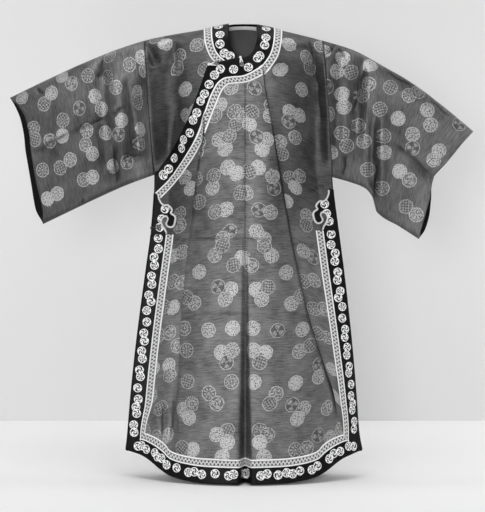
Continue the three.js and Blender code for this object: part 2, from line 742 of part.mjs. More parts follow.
const overlapTop = { x: 10, down: 80 }; // beside the neck hole, which is cut out of it
const outerOutline = [
  { x: overlapTop.x, down: BEYOND.up },
  overlapTop,
  ...OVERLAP_EDGE,
  { x: -BEYOND.x, down: armpitDown(-1) + 11 },
  { x: -BEYOND.x, down: BEYOND.down },
  { x: BEYOND.x, down: BEYOND.down },
  { x: BEYOND.x, down: BEYOND.up },
];
const frontWall = wall(frontSheet, frontOut, false, () => 0, CLOTH);
const frontCloth = frontWall.intersect(block(outerOutline, "front")).subtract(neckFront);
addPiece("front_left", frontCloth.intersect(besideSeam(-1, "front")), COLOURS.tapestry);
addPiece("front_right", frontCloth.intersect(besideSeam(1, "front")), COLOURS.tapestry);

// How far a point is outside the free edge of the overlap, seen from the front.
function outsideOverlap(p) {
  let nearest = { distance: Infinity, sign: 1 };
  for (let i = 0; i + 1 < OVERLAP_EDGE.length; i += 1) {
    const start = new THREE.Vector2(OVERLAP_EDGE[i].x, -OVERLAP_EDGE[i].down);
    const along = new THREE.Vector2(OVERLAP_EDGE[i + 1].x, -OVERLAP_EDGE[i + 1].down).sub(start);
    const to = new THREE.Vector2(p.x, p.z).sub(start);
    const t = clamp01(to.dot(along) / along.lengthSq());
    const off = to.clone().addScaledVector(along, -t);
    const sign = along.cross(to) < 0 ? 1 : -1;
    if (off.length() < nearest.distance) nearest = { distance: off.length(), sign };
  }
  return nearest.distance * nearest.sign;
}

// The underlap lies close behind the front where the two overlap, and level with it at the shoulder.
const UNDERLAP_BEHIND = 4;
const underlapLift = (p) => -UNDERLAP_BEHIND * (1 - ease((outsideOverlap(p) - 10) / 50));
const underlapOutline = [
  { x: -BEYOND.x, down: BEYOND.up },
  { x: 4, down: BEYOND.up },
  { x: 4, down: 130 },
  { x: -40, down: 260 },
  { x: -80, down: 400 },
  { x: -110, down: 540 },
  { x: -236, down: 540 },
  { x: -238, down: 428 },
  { x: -BEYOND.x, down: 428 },
];
const underlapCloth = wall(frontSheet, frontOut, false, underlapLift, CLOTH);
addPiece(
  "underlap",
  underlapCloth.intersect(block(underlapOutline, "front")).subtract(neckFront),
  COLOURS.tapestry,
);

// Back, in two panels joined down the middle

const backCloth = wall(backSheet, backOut, false, () => 0, CLOTH).subtract(neckBack);
addPiece("back_left", backCloth.intersect(besideSeam(-1, "back")), COLOURS.tapestry);
addPiece("back_right", backCloth.intersect(besideSeam(1, "back")), COLOURS.tapestry);

// Sleeves: each a ring of cloth from the armhole to the cuff

const RING_FRONT = [0, 0.012, 0.045, 0.095, 0.16, 0.27, 0.38, 0.5, 0.62, 0.74, 0.86, 0.95, 0.985];
const SLEEVE_STEPS = 11;
const FACING_STEPS = 2;

function sleeveSheet(armhole, cuff, bows) {
  const side = Math.sign(armhole.topX);
  const bow = { front: through(bows, "down", "front"), back: through(bows, "down", "back") };
  const point = (along, q, face) => {
    const gap = side * SEAM_GAP * (1 - along);
    const topX = mix(armhole.topX, cuff.topX, along) + gap;
    const bottomX = mix(armhole.bottomX, cuff.bottomX, along) + gap;
    const pulled = -side * bow[face](q) * ease((along - 0.45) / 0.55);
    const x = mix(topX, bottomX, q) + pulled;
    const z = mix(topLine(topX), underLine(bottomX), q);
    const depth = q === 0 || q === 1 ? 0 : form(x, Math.min(z, topLine(x)), face);
    return new THREE.Vector3(x, face === "front" ? -depth : depth, z);
  };
  const facing = CUFF_FACING / Math.abs(cuff.topX - armhole.topX);
  return spread([
    { x: 0, steps: SLEEVE_STEPS },
    { x: 1 - facing, steps: FACING_STEPS },
    { x: 1, steps: 0 },
  ]).map((along) => {
    const line = RING_FRONT.map((q) => point(along, q, "front"));
    line.push(point(along, 1, "front"));
    for (let k = RING_FRONT.length - 1; k > 0; k -= 1) line.push(point(along, RING_FRONT[k], "back"));
    return line;
  });
}

function addSleeve(name, armhole, cuff, bows) {
  const sheet = sleeveSheet(armhole, cuff, bows);
  const seam = armholePlane(armhole);
  const normals = outward(sheet, "front", true, (r) => (r === 0 ? seam : null));
  const inward = normals[6][4].y > 0;
  if (inward) normals.forEach((line) => line.forEach((n) => n.negate()));
  addPiece("sleeve_" + name, wall(sheet, normals, true, () => 0, CLOTH), COLOURS.tapestry);
  const inside = -CLOTH / 2 - SEAM_GAP - SATIN / 2;
  const facing = wall(sheet.slice(SLEEVE_STEPS), normals.slice(SLEEVE_STEPS), true, () => inside, SATIN);
  addPiece("cuff_facing_" + name, facing, COLOURS.facing);
}
addSleeve("left", LEFT_ARMHOLE, LEFT_CUFF, LEFT_CUFF_BOW);
addSleeve("right", RIGHT_ARMHOLE, RIGHT_CUFF, RIGHT_CUFF_BOW);

// Borders along the slits and hem, the ribbon inside them and the piping round the cloud heads

function addBorder(face, satin) {
  const left = cloudEdge(-1, LEFT_CLOUD_TIP);
  const right = cloudEdge(1, RIGHT_CLOUD_TIP);
  const foot = 4 + PIPING_WIDTH / 2;
  const top = { left: left[left.length - 1].down + foot, right: right[right.length - 1].down + foot };
  const outline = [
    { x: -BEYOND.x, down: left[0].down },
    ...left,
    ...borderEdge(0, top),
    ...right.slice().reverse(),
    { x: BEYOND.x, down: right[0].down },
    { x: BEYOND.x, down: BEYOND.down },
    { x: -BEYOND.x, down: BEYOND.down },
  ];
  const pipings = [
    { side: "left", line: left },
    { side: "right", line: right },
  ];
  let border = satin.intersect(block(outline, face));
  for (const { line } of pipings) {
    border = border.subtract(block(along(line, PIPING_WIDTH + 2 * SEAM_GAP), face));
  }
  addPiece("border_" + face, border, COLOURS.satin, 0.35);
  for (const { side, line } of pipings) {
    const piping = satin.intersect(block(along(line, PIPING_WIDTH), face));
    addPiece("cloud_piping_" + face + "_" + side, piping, COLOURS.ribbon, 0.6);
  }
  const ribbon = [...borderEdge(SEAM_GAP, top), ...borderEdge(TRIM_WIDTH, top).reverse()];
  addPiece("ribbon_" + face, satin.intersect(block(ribbon, face)), COLOURS.ribbon, 0.6);
}
addBorder("front", frontSatin);
addBorder("back", backSatin);

// Satin bands and ribbons round the neck and down the overlap

const pastSide = -300; // the band and ribbon end at the side seam, inside this
const bandOutline = [
  { x: overlapTop.x, down: BEYOND.up },
  overlapTop,
  ...OVERLAP_EDGE,
  { x: pastSide, down: 446 },
  { x: pastSide, down: 488 },
  ...BAND_EDGE.slice().reverse(),
];
const overlapBand = frontSatin.intersect(block(bandOutline, "front")).subtract(neckFront);
addPiece("overlap_band", overlapBand, COLOURS.satin, 0.35);

const grownBand = BAND_EDGE.map((p) => ({ x: p.x + SEAM_GAP, down: p.down + SEAM_GAP }));
const overlapRibbonBlock = block([...grownBand, ...RIBBON_EDGE.slice().reverse()], "front");
addPiece("overlap_ribbon", frontSatin.intersect(overlapRibbonBlock), COLOURS.ribbon, 0.6);

const underlapSatin = wall(frontSheet, frontOut, false, (p) => underlapLift(p) + sewnOn, SATIN);
const underBandEdge = [
  { x: -93, down: -40 },
  { x: -92, down: 20 },
  { x: -87, down: 58 },
  { x: -78, down: 76 },
  { x: -58, down: 93 },
  { x: -40, down: 105 },
];
const underBandOutline = [{ x: 0, down: -40 }, ...underBandEdge, { x: 0, down: 118 }];
const underBand = underlapSatin.intersect(block(underBandOutline, "front")).subtract(neckFront);
addPiece("neck_band_under", underBand, COLOURS.satin, 0.35);
const underRibbonOuter = [
  { x: -117, down: -40 },
  { x: -116, down: 10 },
  { x: -108, down: 60 },
  { x: -97, down: 88 },
  { x: -84, down: 104 },
  { x: -56, down: 116 },
];
const grownUnder = underBandEdge.map((p) => ({ x: p.x - SEAM_GAP, down: p.down + SEAM_GAP }));
const underRibbonBlock = block([...grownUnder, ...underRibbonOuter.slice().reverse()], "front");
addPiece("neck_ribbon_under", underlapSatin.intersect(underRibbonBlock), COLOURS.ribbon, 0.6);

function backNeckOutline(grow) {
  return [
    { x: -92 - grow, down: -60 },
    { x: -92 - grow, down: 6 },
    { x: -76 - grow * 0.85, down: 26 + grow * 0.6 },
    { x: -46 - grow * 0.5, down: 40 + grow * 0.9 },
    { x: 0, down: 46 + grow },
    { x: 46 + grow * 0.5, down: 40 + grow * 0.9 },
    { x: 76 + grow * 0.85, down: 26 + grow * 0.6 },
    { x: 92 + grow, down: 6 },
    { x: 92 + grow, down: -60 },
  ];
}
const backBlock = (grow) => block(backNeckOutline(grow), "back");
addPiece("neck_band_back", backSatin.intersect(backBlock(0)).subtract(neckBack), COLOURS.satin, 0.35);
addPiece(
  "neck_ribbon_back",
  backSatin.intersect(backBlock(TRIM_WIDTH)).subtract(backBlock(SEAM_GAP)),
  COLOURS.ribbon,
  0.6,
);

// Inside the back of the neck: a dark facing and a pale tape

const insideBack = (layer) =>
  wall(backSheet, backOut, false, () => -CLOTH / 2 - layer * (SEAM_GAP + SATIN) + SATIN / 2, SATIN);
const facingOutline = [
  { x: -130, down: BEYOND.up },
  { x: -130, down: 120 },
  { x: 130, down: 120 },
  { x: 130, down: BEYOND.up },
];
const neckFacing = insideBack(1).intersect(block(facingOutline, "back")).subtract(neckBack);
addPiece("neck_facing", neckFacing, COLOURS.facing);
const tapeOutline = [
  { x: -46, down: -17 },
  { x: -46, down: -8 },
  { x: 40, down: -8 },
  { x: 40, down: -17 },
];
addPiece("neck_tape", insideBack(2).intersect(block(tapeOutline, "back")), COLOURS.tape);

// Ball buttons, each with the knotted loop of cloth that fastens it

function addButton({ name, x, down, turn }) {
  const at = clothPoint(x, -down, "front");
  const right = clothPoint(x + 5, -down, "front").sub(at);
  const up = clothPoint(x, -down + 5, "front").sub(at);
  const out = right.clone().cross(up).negate().normalize();
  if (out.y > 0) out.negate();
  const base = new THREE.Matrix4().makeBasis(
    right.clone().normalize(),
    out.clone().cross(right).normalize(),
    out,
  );
  const half = LOOP.length / 2 - LOOP.width / 2;
  const bar = new THREE.Shape();
  bar.absarc(half, 0, LOOP.width / 2, -Math.PI / 2, Math.PI / 2);
  bar.absarc(-half, 0, LOOP.width / 2, Math.PI / 2, 1.5 * Math.PI);
  const loop = new THREE.ExtrudeGeometry(bar, { depth: LOOP.thick, bevelEnabled: false, curveSegments: 5 });
  loop.rotateZ(radians(turn));
  const ball = new THREE.SphereGeometry(BUTTON_RADIUS, 12, 8);
  ball.rotateX(Math.PI / 2);
  ball.translate(half * Math.cos(radians(turn)), half * Math.sin(radians(turn)), 0);
  const foot = BUTTON_FOOT;
  loop.translate(0, 0, foot);
  ball.translate(0, 0, foot + LOOP.thick + SEAM_GAP + BUTTON_RADIUS);
  for (const geometry of [loop, ball]) {
    geometry.applyMatrix4(base);
    geometry.translate(at.x, at.y, at.z);
  }
  addPiece("loop_" + name, solidOf(loop), COLOURS.satin, 0.4);
  addPiece("button_" + name, solidOf(ball), COLOURS.metal, 0.3, 1);
}
BUTTONS.forEach(addButton);

export default group;
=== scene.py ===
import bmesh
import bpy
import math
import numpy as np
from mathutils import Matrix, Vector, noise


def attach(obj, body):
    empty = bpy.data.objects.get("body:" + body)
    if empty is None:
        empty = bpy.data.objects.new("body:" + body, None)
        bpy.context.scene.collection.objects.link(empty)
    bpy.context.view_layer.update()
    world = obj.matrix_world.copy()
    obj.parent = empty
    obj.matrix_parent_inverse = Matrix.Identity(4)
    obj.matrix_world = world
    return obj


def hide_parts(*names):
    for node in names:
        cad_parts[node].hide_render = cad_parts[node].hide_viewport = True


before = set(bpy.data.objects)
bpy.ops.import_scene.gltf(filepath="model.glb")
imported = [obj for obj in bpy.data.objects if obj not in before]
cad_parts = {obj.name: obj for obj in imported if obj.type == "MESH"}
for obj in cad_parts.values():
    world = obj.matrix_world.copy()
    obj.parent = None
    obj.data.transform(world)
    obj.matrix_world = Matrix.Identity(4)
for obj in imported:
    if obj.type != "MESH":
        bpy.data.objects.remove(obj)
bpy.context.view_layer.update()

# Camera and studio: a pale wall and floor, lit softly from the front and above, with the camera level with
# the middle of the robe and four metres away.
CAMERA = dict(x=-0.0015, y=-4.0, z=-0.678, lens=93.73)
FLOOR_Z = -1.343
WALL_Y = 1.38

bpy.ops.object.select_all(action="DESELECT")
bpy.ops.object.camera_add(
    location=(CAMERA["x"], CAMERA["y"], CAMERA["z"]), rotation=(math.pi / 2, 0, 0)
)
camera = bpy.context.object
camera.data.lens = CAMERA["lens"]
bpy.context.scene.camera = camera
bpy.context.scene.view_settings.view_transform = "Standard"


class Wire:
    """A shader socket that can be added, multiplied and so on, each adding a Math node."""

    def __init__(self, tree, socket):
        self.tree = tree
        self.socket = socket

    def node(self, kind, settings=None, out=0, **sockets):
        made = self.tree.nodes.new(kind)
        for key, value in (settings or {}).items():
            if key == "stops":
                ramp = made.color_ramp.elements
                while len(ramp) < len(value):
                    ramp.new(0.5)
                for stop, (at, tone) in zip(ramp, value):
                    stop.position = at
                    stop.color = (tone, tone, tone, 1)
            else:
                setattr(made, key, value)
        for key, value in sockets.items():
            name = key.replace("_", " ")
            socket = made.inputs[int(key[1:])] if key[1:].isdigit() else made.inputs[name]
            if isinstance(value, Wire):
                self.tree.links.new(value.socket, socket)
            else:
                socket.default_value = value
        return Wire(self.tree, made.outputs[out])

    def math(self, operation, *values):
        sockets = {f"i{i}": value for i, value in enumerate(values)}
        return self.node("ShaderNodeMath", dict(operation=operation), **sockets)

    def __add__(self, other):
        return self.math("ADD", self, other)

    __radd__ = __add__

    def __mul__(self, other):
        return self.math("MULTIPLY", self, other)

    __rmul__ = __mul__

    def __sub__(self, other):
        return self.math("SUBTRACT", self, other)

    def __rsub__(self, other):
        return self.math("SUBTRACT", other, self)

    def __truediv__(self, other):
        return self.math("DIVIDE", self, other)

    def __gt__(self, other):
        return self.math("GREATER_THAN", self, other)

    def between(self, low, high):
        """1 where the value is above high, 0 below low, and a smooth step from one to the other."""
        return self.node(
            "ShaderNodeMapRange",
            dict(interpolation_type="SMOOTHSTEP"),
            Value=self, From_Min=low, From_Max=high, To_Min=0.0, To_Max=1.0,
        )

    def mixed(self, low, high):
        """low where this is 0 and high where it is 1, for greys and colours."""
        made = self.tree.nodes.new("ShaderNodeMix")
        made.data_type = "RGBA"
        self.tree.links.new(self.socket, made.inputs[0])
        for value, socket in ((low, made.inputs[6]), (high, made.inputs[7])):
            if isinstance(value, Wire):
                self.tree.links.new(value.socket, socket)
            else:
                socket.default_value = (*value, 1) if isinstance(value, tuple) else (value,) * 3 + (1,)
        return Wire(self.tree, made.outputs[2])


def new_material(name, roughness, sheen=0.0, specular=0.4, metallic=0.0, across_grain=0.0):
    material = bpy.data.materials.new(name)
    material.use_nodes = True
    tree = material.node_tree
    shader = tree.nodes["Principled BSDF"]
    shader.inputs["Roughness"].default_value = roughness
    shader.inputs["Sheen Weight"].default_value = sheen
    shader.inputs["Sheen Roughness"].default_value = 0.4
    shader.inputs["Specular IOR Level"].default_value = specular
    shader.inputs["Metallic"].default_value = metallic
    shader.inputs["Anisotropic"].default_value = across_grain
    shader.inputs["Anisotropic Rotation"].default_value = 0.25
    return material, Wire(tree, None), shader


def colour_to(wire, shader, socket="Base Color"):
    wire.tree.links.new(wire.socket, shader.inputs[socket])


def bump_to(height, shader, strength, distance):
    bump = height.node("ShaderNodeBump", None, Height=height, Strength=strength, Distance=distance)
    height.tree.links.new(bump.socket, shader.inputs["Normal"])


def studio_plane(name, size, centre, turn, tone):
    """A plain floor or wall, clear from behind, so that the robe's back can be looked at."""
    bpy.ops.object.select_all(action="DESELECT")
    bpy.ops.mesh.primitive_plane_add(size=size, location=centre, rotation=turn)
    plane = bpy.context.object
    bpy.ops.object.transform_apply(location=True, rotation=True, scale=True)
    plane.name = name
    material, start, shader = new_material(name, 0.9, specular=0.1)
    shader.inputs["Base Color"].default_value = (tone, tone, tone, 1)
    from_behind = start.node("ShaderNodeNewGeometry", None, out=6)
    clear = start.node("ShaderNodeBsdfTransparent")
    seen = start.node("ShaderNodeMixShader", None, i0=from_behind, i2=clear)
    links = start.tree.links
    links.new(shader.outputs["BSDF"], seen.socket.node.inputs[1])
    links.new(seen.socket, start.tree.nodes["Material Output"].inputs["Surface"])
    plane.data.materials.append(material)


studio_plane("studio_floor", 16, (0, WALL_Y - 8, FLOOR_Z), (0, 0, 0), 0.93)
studio_plane("studio_wall", 16, (0, WALL_Y, FLOOR_Z + 8), (math.pi / 2, 0, 0), 0.72)

LIGHTS = [
    dict(name="key", at=(-0.4, -4.1, -0.5), aim=(0, 0, -0.7), size=0.7, watts=52),
    dict(name="low", at=(-0.9, -2.4, -1.25), aim=(-0.1, 0, -1.15), size=0.5, watts=12),
    dict(name="cuff", at=(2.2, -2.0, 0.5), aim=(0.66, 0, -0.45), size=0.4, watts=5),
    dict(name="wall_wash_left", at=(-2.3, 0.35, -0.2), aim=(-0.2, 1.5, -0.9), size=1.6, watts=12),
    dict(name="wall_wash_right", at=(2.3, 0.35, -0.2), aim=(0.2, 1.5, -0.9), size=1.6, watts=14),
    dict(name="top", at=(0.0, -0.9, 2.3), aim=(0, -0.5, -1.3), size=2.6, watts=70),
]
for light in LIGHTS:
    bpy.ops.object.light_add(type="AREA", location=light["at"])
    lamp = bpy.context.object
    lamp.name = light["name"]
    lamp.data.size = light["size"]
    lamp.data.energy = light["watts"]
    towards = Vector(light["aim"]) - lamp.location
    lamp.rotation_euler = towards.to_track_quat("-Z", "Y").to_euler()
world = bpy.context.scene.world or bpy.data.worlds.new("World")
bpy.context.scene.world = world
world.use_nodes = True
world.node_tree.nodes["Background"].inputs["Color"].default_value = (1, 1, 1, 1)
world.node_tree.nodes["Background"].inputs["Strength"].default_value = 0.16

# Front: two silk tapestry panels joined down the middle, with the overlap that crosses to the left edge
# of the picture. The roundels are woven in. It hangs from the shoulders, filled out, with two long tucks.
MM = 0.001
BORDER_WIDTH = 48
RIBBON_WIDTH = 24
SHOULDER_ROUND = 60
SIDE_SEAM_DEPTH = 1.8
SLIT_TOP = 560
SLIT_GAPE = 12


def table(columns, *rows):
    return [dict(zip(columns.split(), row)) for row in rows]


TOP_LINE = table(
    "x z",
    (-699, -204), (-594, -153), (-489, -105), (-381, -61), (-279, -29), (-180, -10), (-120, 0),
    (-93, 7), (-44, 17), (0, 25), (44, 15), (91, 5), (118, -3), (147, -10), (231, -31), (327, -60),
    (423, -111), (507, -160), (591, -222), (690, -304),
)
LEFT_UNDER_LINE = table(
    "x z",
    (-700, -630), (-600, -582), (-513, -540), (-429, -500), (-345, -463), (-266, -434),
)
RIGHT_UNDER_LINE = table(
    "x z",
    (268, -441), (327, -458), (366, -474), (388, -500), (402, -546), (471, -590), (528, -627), (700, -735),
)
BODY = table(
    "down left right front back turn_left turn_right",
    (0, 276, 262, 58, 46, 20, 20),
    (90, 276, 262, 74, 54, 20, 20),
    (200, 274, 262, 88, 62, 20, 20),
    (440, 266, 268, 98, 72, 12, 15),
    (600, 275, 286, 104, 76, 6, 8),
    (700, 288, 299, 108, 80, 6, 10),
    (810, 303, 312, 113, 84, 6, 20),
    (954, 321, 327, 121, 91, 6, 31),
    (1098, 336, 339, 130, 99, 6, 42),
    (1206, 345, 347, 138, 106, 12, 44),
    (1260, 350, 356, 142, 110, 16, 42),
    (1340, 354, 362, 148, 114, 20, 40),
)
HEM = table(
    "out down",
    (0, 1338), (0.3, 1337), (0.5, 1331), (0.64, 1318), (0.74, 1295), (0.82, 1277), (0.9, 1266), (1, 1257),
)
SLEEVE_DEPTH = table("out depth", (230, 62), (330, 58), (450, 50), (600, 40), (700, 34))
TUCKS = table(
    "down left right left_step right_step groove groove_half",
    (60, -112, 52, 0, 0, 0, 12),
    (150, -110, 57, 0, 12, 0, 12),
    (292, -111, 81, 10, 20, 3, 12),
    (420, -129, 102, 16, 24, 3, 12),
    (573, -146, 128, 18, 24, 3, 12),
    (699, -161, 152, 19, 24, 5, 12),
    (862, -176, 189, 20, 22, 12, 13),
    (1018, -183, 235, 18, 18, 26, 15),
    (1130, -190, 266, 10, 9, 38, 18),
    (1230, -186, 278, 0, 0, 44, 20),
    (1345, -186, 280, 0, 0, 44, 22),
)
TUCK_CLIFF = 10
TUCK_RECOVERY = 55
TUCK_UNDERCUT = 0.3
GROOVE_X = 6
# Troughs are above 0 and ridges below 0.
FOLDS = table(
    "side x1 down1 x2 down2 width depth",
    ("front", -292, 39, -250, 112, 15, 14),
    ("front", -208, 48, -212, 130, 18, 8),
    ("front", -196, 215, -228, 380, 22, 10),
    ("front", -420, 84, -402, 440, 24, 16),
    ("front", -343, 150, -308, 372, 16, 12),
    ("front", -284, 130, -270, 400, 16, -14),
    ("front", -560, 372, -660, 415, 22, 7),
    ("front", 291, 60, 276, 370, 18, 13),
    ("front", 243, 110, 262, 425, 16, -14),
    ("front", 356, 96, 336, 330, 15, 11),
    ("front", 386, 260, 388, 505, 13, 13),
    ("front", 412, 250, 410, 520, 14, -9),
    ("front", 500, 400, 590, 445, 18, 10),
    ("front", -205, 90, -222, 430, 40, 20),
    ("front", 205, 70, 222, 430, 40, 22),
    ("front", -322, 130, -318, 420, 30, 14),
    ("front", 330, 110, 338, 430, 30, 14),
    ("front", -470, 330, -400, 450, 45, 12),
    ("back", -240, 60, -215, 420, 22, 12),
    ("back", 235, 60, 222, 430, 22, 12),
    ("back", -120, 260, -170, 1200, 26, 12),
    ("back", 105, 220, 182, 1220, 28, 14),
    ("back", -400, 90, -385, 430, 24, 13),
    ("back", 350, 90, 345, 430, 24, 12),
    ("back", -530, 160, -505, 500, 22, 8),
    ("back", 500, 190, 470, 540, 22, 8),
)
# Sharp creases from folding in storage and small pulls, as short valleys (above 0) and ridges.
CREASES = table(
    "side x1 down1 x2 down2 width depth",
    ("front", -210, 628, 130, 624, 4, 3.5),
    ("front", 140, 640, 215, 648, 4, 3.0),
    ("front", -70, 616, 2, 592, 5, 3.5),
    ("front", -45, 566, 2, 566, 4, 2.5),
    ("front", -45, 392, 2, 394, 4, 3.0),
    ("front", -145, 843, 175, 851, 4, 2.6),
    ("front", -120, 1263, -8, 1276, 4, 2.5),
    ("front", 190, 488, 250, 462, 4, 4.0),
    ("front", -205, 1100, -212, 1210, 7, 8.0),
    ("front", -238, 1120, -240, 1215, 6, 6.0),
    ("front", -201, 48, -205, 100, 7, 9.0),
    ("front", -632, 369, -517, 311, 7, 9.0),
    ("front", -517, 311, -404, 262, 7, 8.0),
    ("front", -419, 92, -429, 152, 6, 9.0),
    ("front", -616, 180, -594, 196, 8, 6.0),
    ("front", -393, 254, -343, 235, 6, 7.0),
    ("front", -353, 383, -306, 371, 8, 10.0),
    ("front", -389, 340, -378, 462, 10, 10.0),
    ("front", -484, 520, -476, 505, 6, 5.0),
    ("front", 296, 22, 250, 80, 8, 8.0),
    ("front", 401, 400, 390, 498, 6, 9.0),
    ("front", 354, 130, 333, 243, 7, 9.0),
    ("front", 457, 346, 567, 437, 7, 7.0),
    ("front", 428, 130, 502, 174, 5, 5.0),
    ("front", 558, 213, 614, 263, 5, 4.0),
    ("front", 311, 375, 301, 438, 8, 9.0),
    ("front", 285, 58, 300, 90, 7, 6.0),
    ("front", 199, 34, 221, 171, 7, 9.0),
    ("front", 221, 171, 232, 275, 7, 9.0),
    ("front", -285, 50, -260, 118, 8, 9.0),
    ("front", -330, 470, -240, 425, 6, 3.0),
    ("back", -180, 640, 190, 632, 4, 3.0),
    ("back", -150, 860, 200, 850, 4, 2.4),
    ("back", -60, 410, 80, 404, 4, 2.0),
    ("back", -620, 330, -420, 250, 6, 5.0),
    ("back", 420, 300, 600, 420, 6, 5.0),
)
ARMHOLES = dict(left=(-292, -266), right=(236, 268))


def ease(t):
    t = np.clip(t, 0, 1)
    return t * t * (3 - 2 * t)


def mix(a, b, t):
    return a + (b - a) * t


def through(rows, by, column):
    """A smooth curve through one column of a table, read by another column."""
    at = np.array([row[by] for row in rows], float)
    value = np.array([row[column] for row in rows], float)
    chord = np.diff(value) / np.diff(at)
    slope = np.zeros(len(at))
    slope[0] = chord[0]
    slope[-1] = chord[-1]
    before = chord[:-1]
    after = chord[1:]
    same = before * after > 0
    slope[1:-1][same] = 2 * before[same] * after[same] / (before[same] + after[same])

    def read(x):
        x = np.clip(np.asarray(x, float), at[0], at[-1])
        i = np.clip(np.searchsorted(at, x, side="right") - 1, 0, len(at) - 2)
        span = at[i + 1] - at[i]
        t = (x - at[i]) / span
        rise = value[i + 1] - value[i]
        a = slope[i] * span - rise
        b = rise - slope[i + 1] * span
        return value[i] + rise * t + t * (1 - t) * (a * (1 - t) + b * t)

    return read


top_line = through(TOP_LINE, "x", "z")
left_under = through(LEFT_UNDER_LINE, "x", "z")
right_under = through(RIGHT_UNDER_LINE, "x", "z")
sleeve_depth = through(SLEEVE_DEPTH, "out", "depth")
hem_down = through(HEM, "out", "down")
body = {key: through(BODY, "down", key) for key in BODY[0]}
tuck = {key: through(TUCKS, "down", key) for key in TUCKS[0]}


def under_line(x):
    return np.where(np.asarray(x) < 0, left_under(x), right_under(x))


def armhole_x(side, z):
    top_x, bottom_x = ARMHOLES[side]
    top = top_line(top_x)
    bottom = under_line(bottom_x)
    return mix(top_x, bottom_x, (z - top) / (bottom - top))


def turned_over(drop, radius):
    return np.sqrt(np.clip(1 - (1 - np.clip(drop / radius, 0, 1)) ** 2, 0, 1))


def sleeve_form(x, z):
    above = z - under_line(x)
    edge = 14 * turned_over(above, 22)
    return edge + (sleeve_depth(np.abs(x)) - 14) * ease(above / 230)


def body_form(x, z, face):
    down = -z
    left = x < 0
    half = np.where(left, body["left"](down), body["right"](down))
    armpit = np.where(left, 434, 441)
    turn = np.radians(np.where(left, body["turn_left"](down), body["turn_right"](down)))
    seen = BORDER_WIDTH * np.cos(turn)
    rise = BORDER_WIDTH * np.sin(turn) * ease((down - armpit) / 90)
    arm_x = np.where(left, armhole_x("left", z), armhole_x("right", z))
    on_arm = np.maximum(SIDE_SEAM_DEPTH, sleeve_form(arm_x, z))
    edge = np.where(down < armpit, on_arm, mix(SIDE_SEAM_DEPTH, SLIT_GAPE, ease((down - SLIT_TOP) / 500)))
    middle = body["front"](down) if face == "front" else body["back"](down)
    out = np.abs(x)
    share = np.clip(out / (half - seen), 0, 1)
    inside = middle - (middle - edge - rise) * share**1.9
    outside = edge + rise * np.clip((half - out) / seen, 0, 1)
    return np.where(out > half - seen, outside, inside)


def tuck_profile(beyond):
    cliff = mix(1, -TUCK_UNDERCUT, ease(beyond / TUCK_CLIFF))
    recovered = -TUCK_UNDERCUT * (1 - ease((beyond - TUCK_CLIFF) / TUCK_RECOVERY))
    return np.where(beyond <= 0, 1, np.where(beyond < TUCK_CLIFF, cliff, recovered))


def front_tucks(x, z):
    down = -z
    left = tuck["left_step"](down) * tuck_profile(tuck["left"](down) - x)
    right = tuck["right_step"](down) * tuck_profile(x - tuck["right"](down))
    split = ease((x - tuck["left"](down)) / np.maximum(1, tuck["right"](down) - tuck["left"](down)))
    groove = tuck["groove"](down) * (1 - ease(np.abs(x - GROOVE_X) / tuck["groove_half"](down)))
    return mix(left, right, split) - groove


def fold_depth(x, z, face, folds, sharp):
    total = np.zeros_like(x)
    for fold in folds:
        if fold["side"] != face:
            continue
        along_x = fold["x2"] - fold["x1"]
        along_z = fold["down1"] - fold["down2"]
        length = math.hypot(along_x, along_z)
        t = ((x - fold["x1"]) * along_x + (z + fold["down1"]) * along_z) / length**2
        off = ((x - fold["x1"]) * along_z - (z + fold["down1"]) * along_x) / length
        off = off / fold["width"] + (0.35 * np.sin(9 * t + fold["x1"]) if sharp else 0)
        fade = ease((t + 0.12) / 0.3) * ease((1.12 - t) / 0.3)
        line = np.exp(-np.abs(off) ** 1.3) if sharp else np.exp(-(off**2))
        total = total + fold["depth"] * fade * line
    return total


def crumple(x, z, face):
    """Small soft unevenness of hanging silk."""
    seed = 3.1 if face == "front" else 9.7
    flat = np.stack([x, z], -1).reshape(-1, 2)
    height = [
        1.5 * noise.noise(Vector((a / 70, b / 95, seed))) + 0.5 * noise.noise(Vector((a / 22, b / 30, seed)))
        for a, b in flat
    ]
    return np.array(height).reshape(x.shape)


def form(x, z, face):
    """How far the cloth stands from the plane of the shoulders, on its front or back."""
    on_sleeve = ((x < armhole_x("left", z)) | (x > armhole_x("right", z))) & (z > under_line(x) - 1)
    plain = np.where(on_sleeve, sleeve_form(x, z), body_form(x, z, face))
    tucks = np.where(on_sleeve, 0, front_tucks(x, z)) if face == "front" else 0
    room = ease(plain / 30)
    folds = fold_depth(x, z, face, FOLDS, False) + fold_depth(x, z, face, CREASES, True)
    drop = top_line(x) - z
    return (plain + tucks - folds * room + crumple(x, z, face) * room) * turned_over(drop, SHOULDER_ROUND)


def cloth_points(x, z, face):
    depth = form(x, z, face) + 0.15
    return np.stack([x, -depth if face == "front" else depth, z], -1)


def outward(points, ring=False):
    if ring:
        padded = np.concatenate([points[:, -1:], points, points[:, :1]], 1)
        across = padded[:, 2:] - padded[:, :-2]
    else:
        across = np.gradient(points, axis=1)
    down = np.gradient(points, axis=0)
    normal = np.cross(across, down)
    normal /= np.maximum(np.linalg.norm(normal, axis=-1, keepdims=True), 1e-9)
    return normal


def cloth_measure(points, seam):
    """Distances over the cloth: across from the seam's column, and down from the first row."""
    across = np.linalg.norm(np.diff(points, axis=1), axis=-1)
    across = np.concatenate([np.zeros((len(points), 1)), np.cumsum(across, 1)], 1)
    across -= across[:, seam][:, None]
    down = np.linalg.norm(np.diff(points, axis=0), axis=-1)
    down = np.concatenate([np.zeros((1, points.shape[1])), np.cumsum(down, 0)], 0)
    return np.stack([across, down], -1)


def nearest_measure(points, measure, x, down):
    flat = points.reshape(-1, 3)
    gap = (flat[:, 0] - x) ** 2 + (flat[:, 2] + down) ** 2
    return measure.reshape(-1, 2)[np.argmin(gap)]


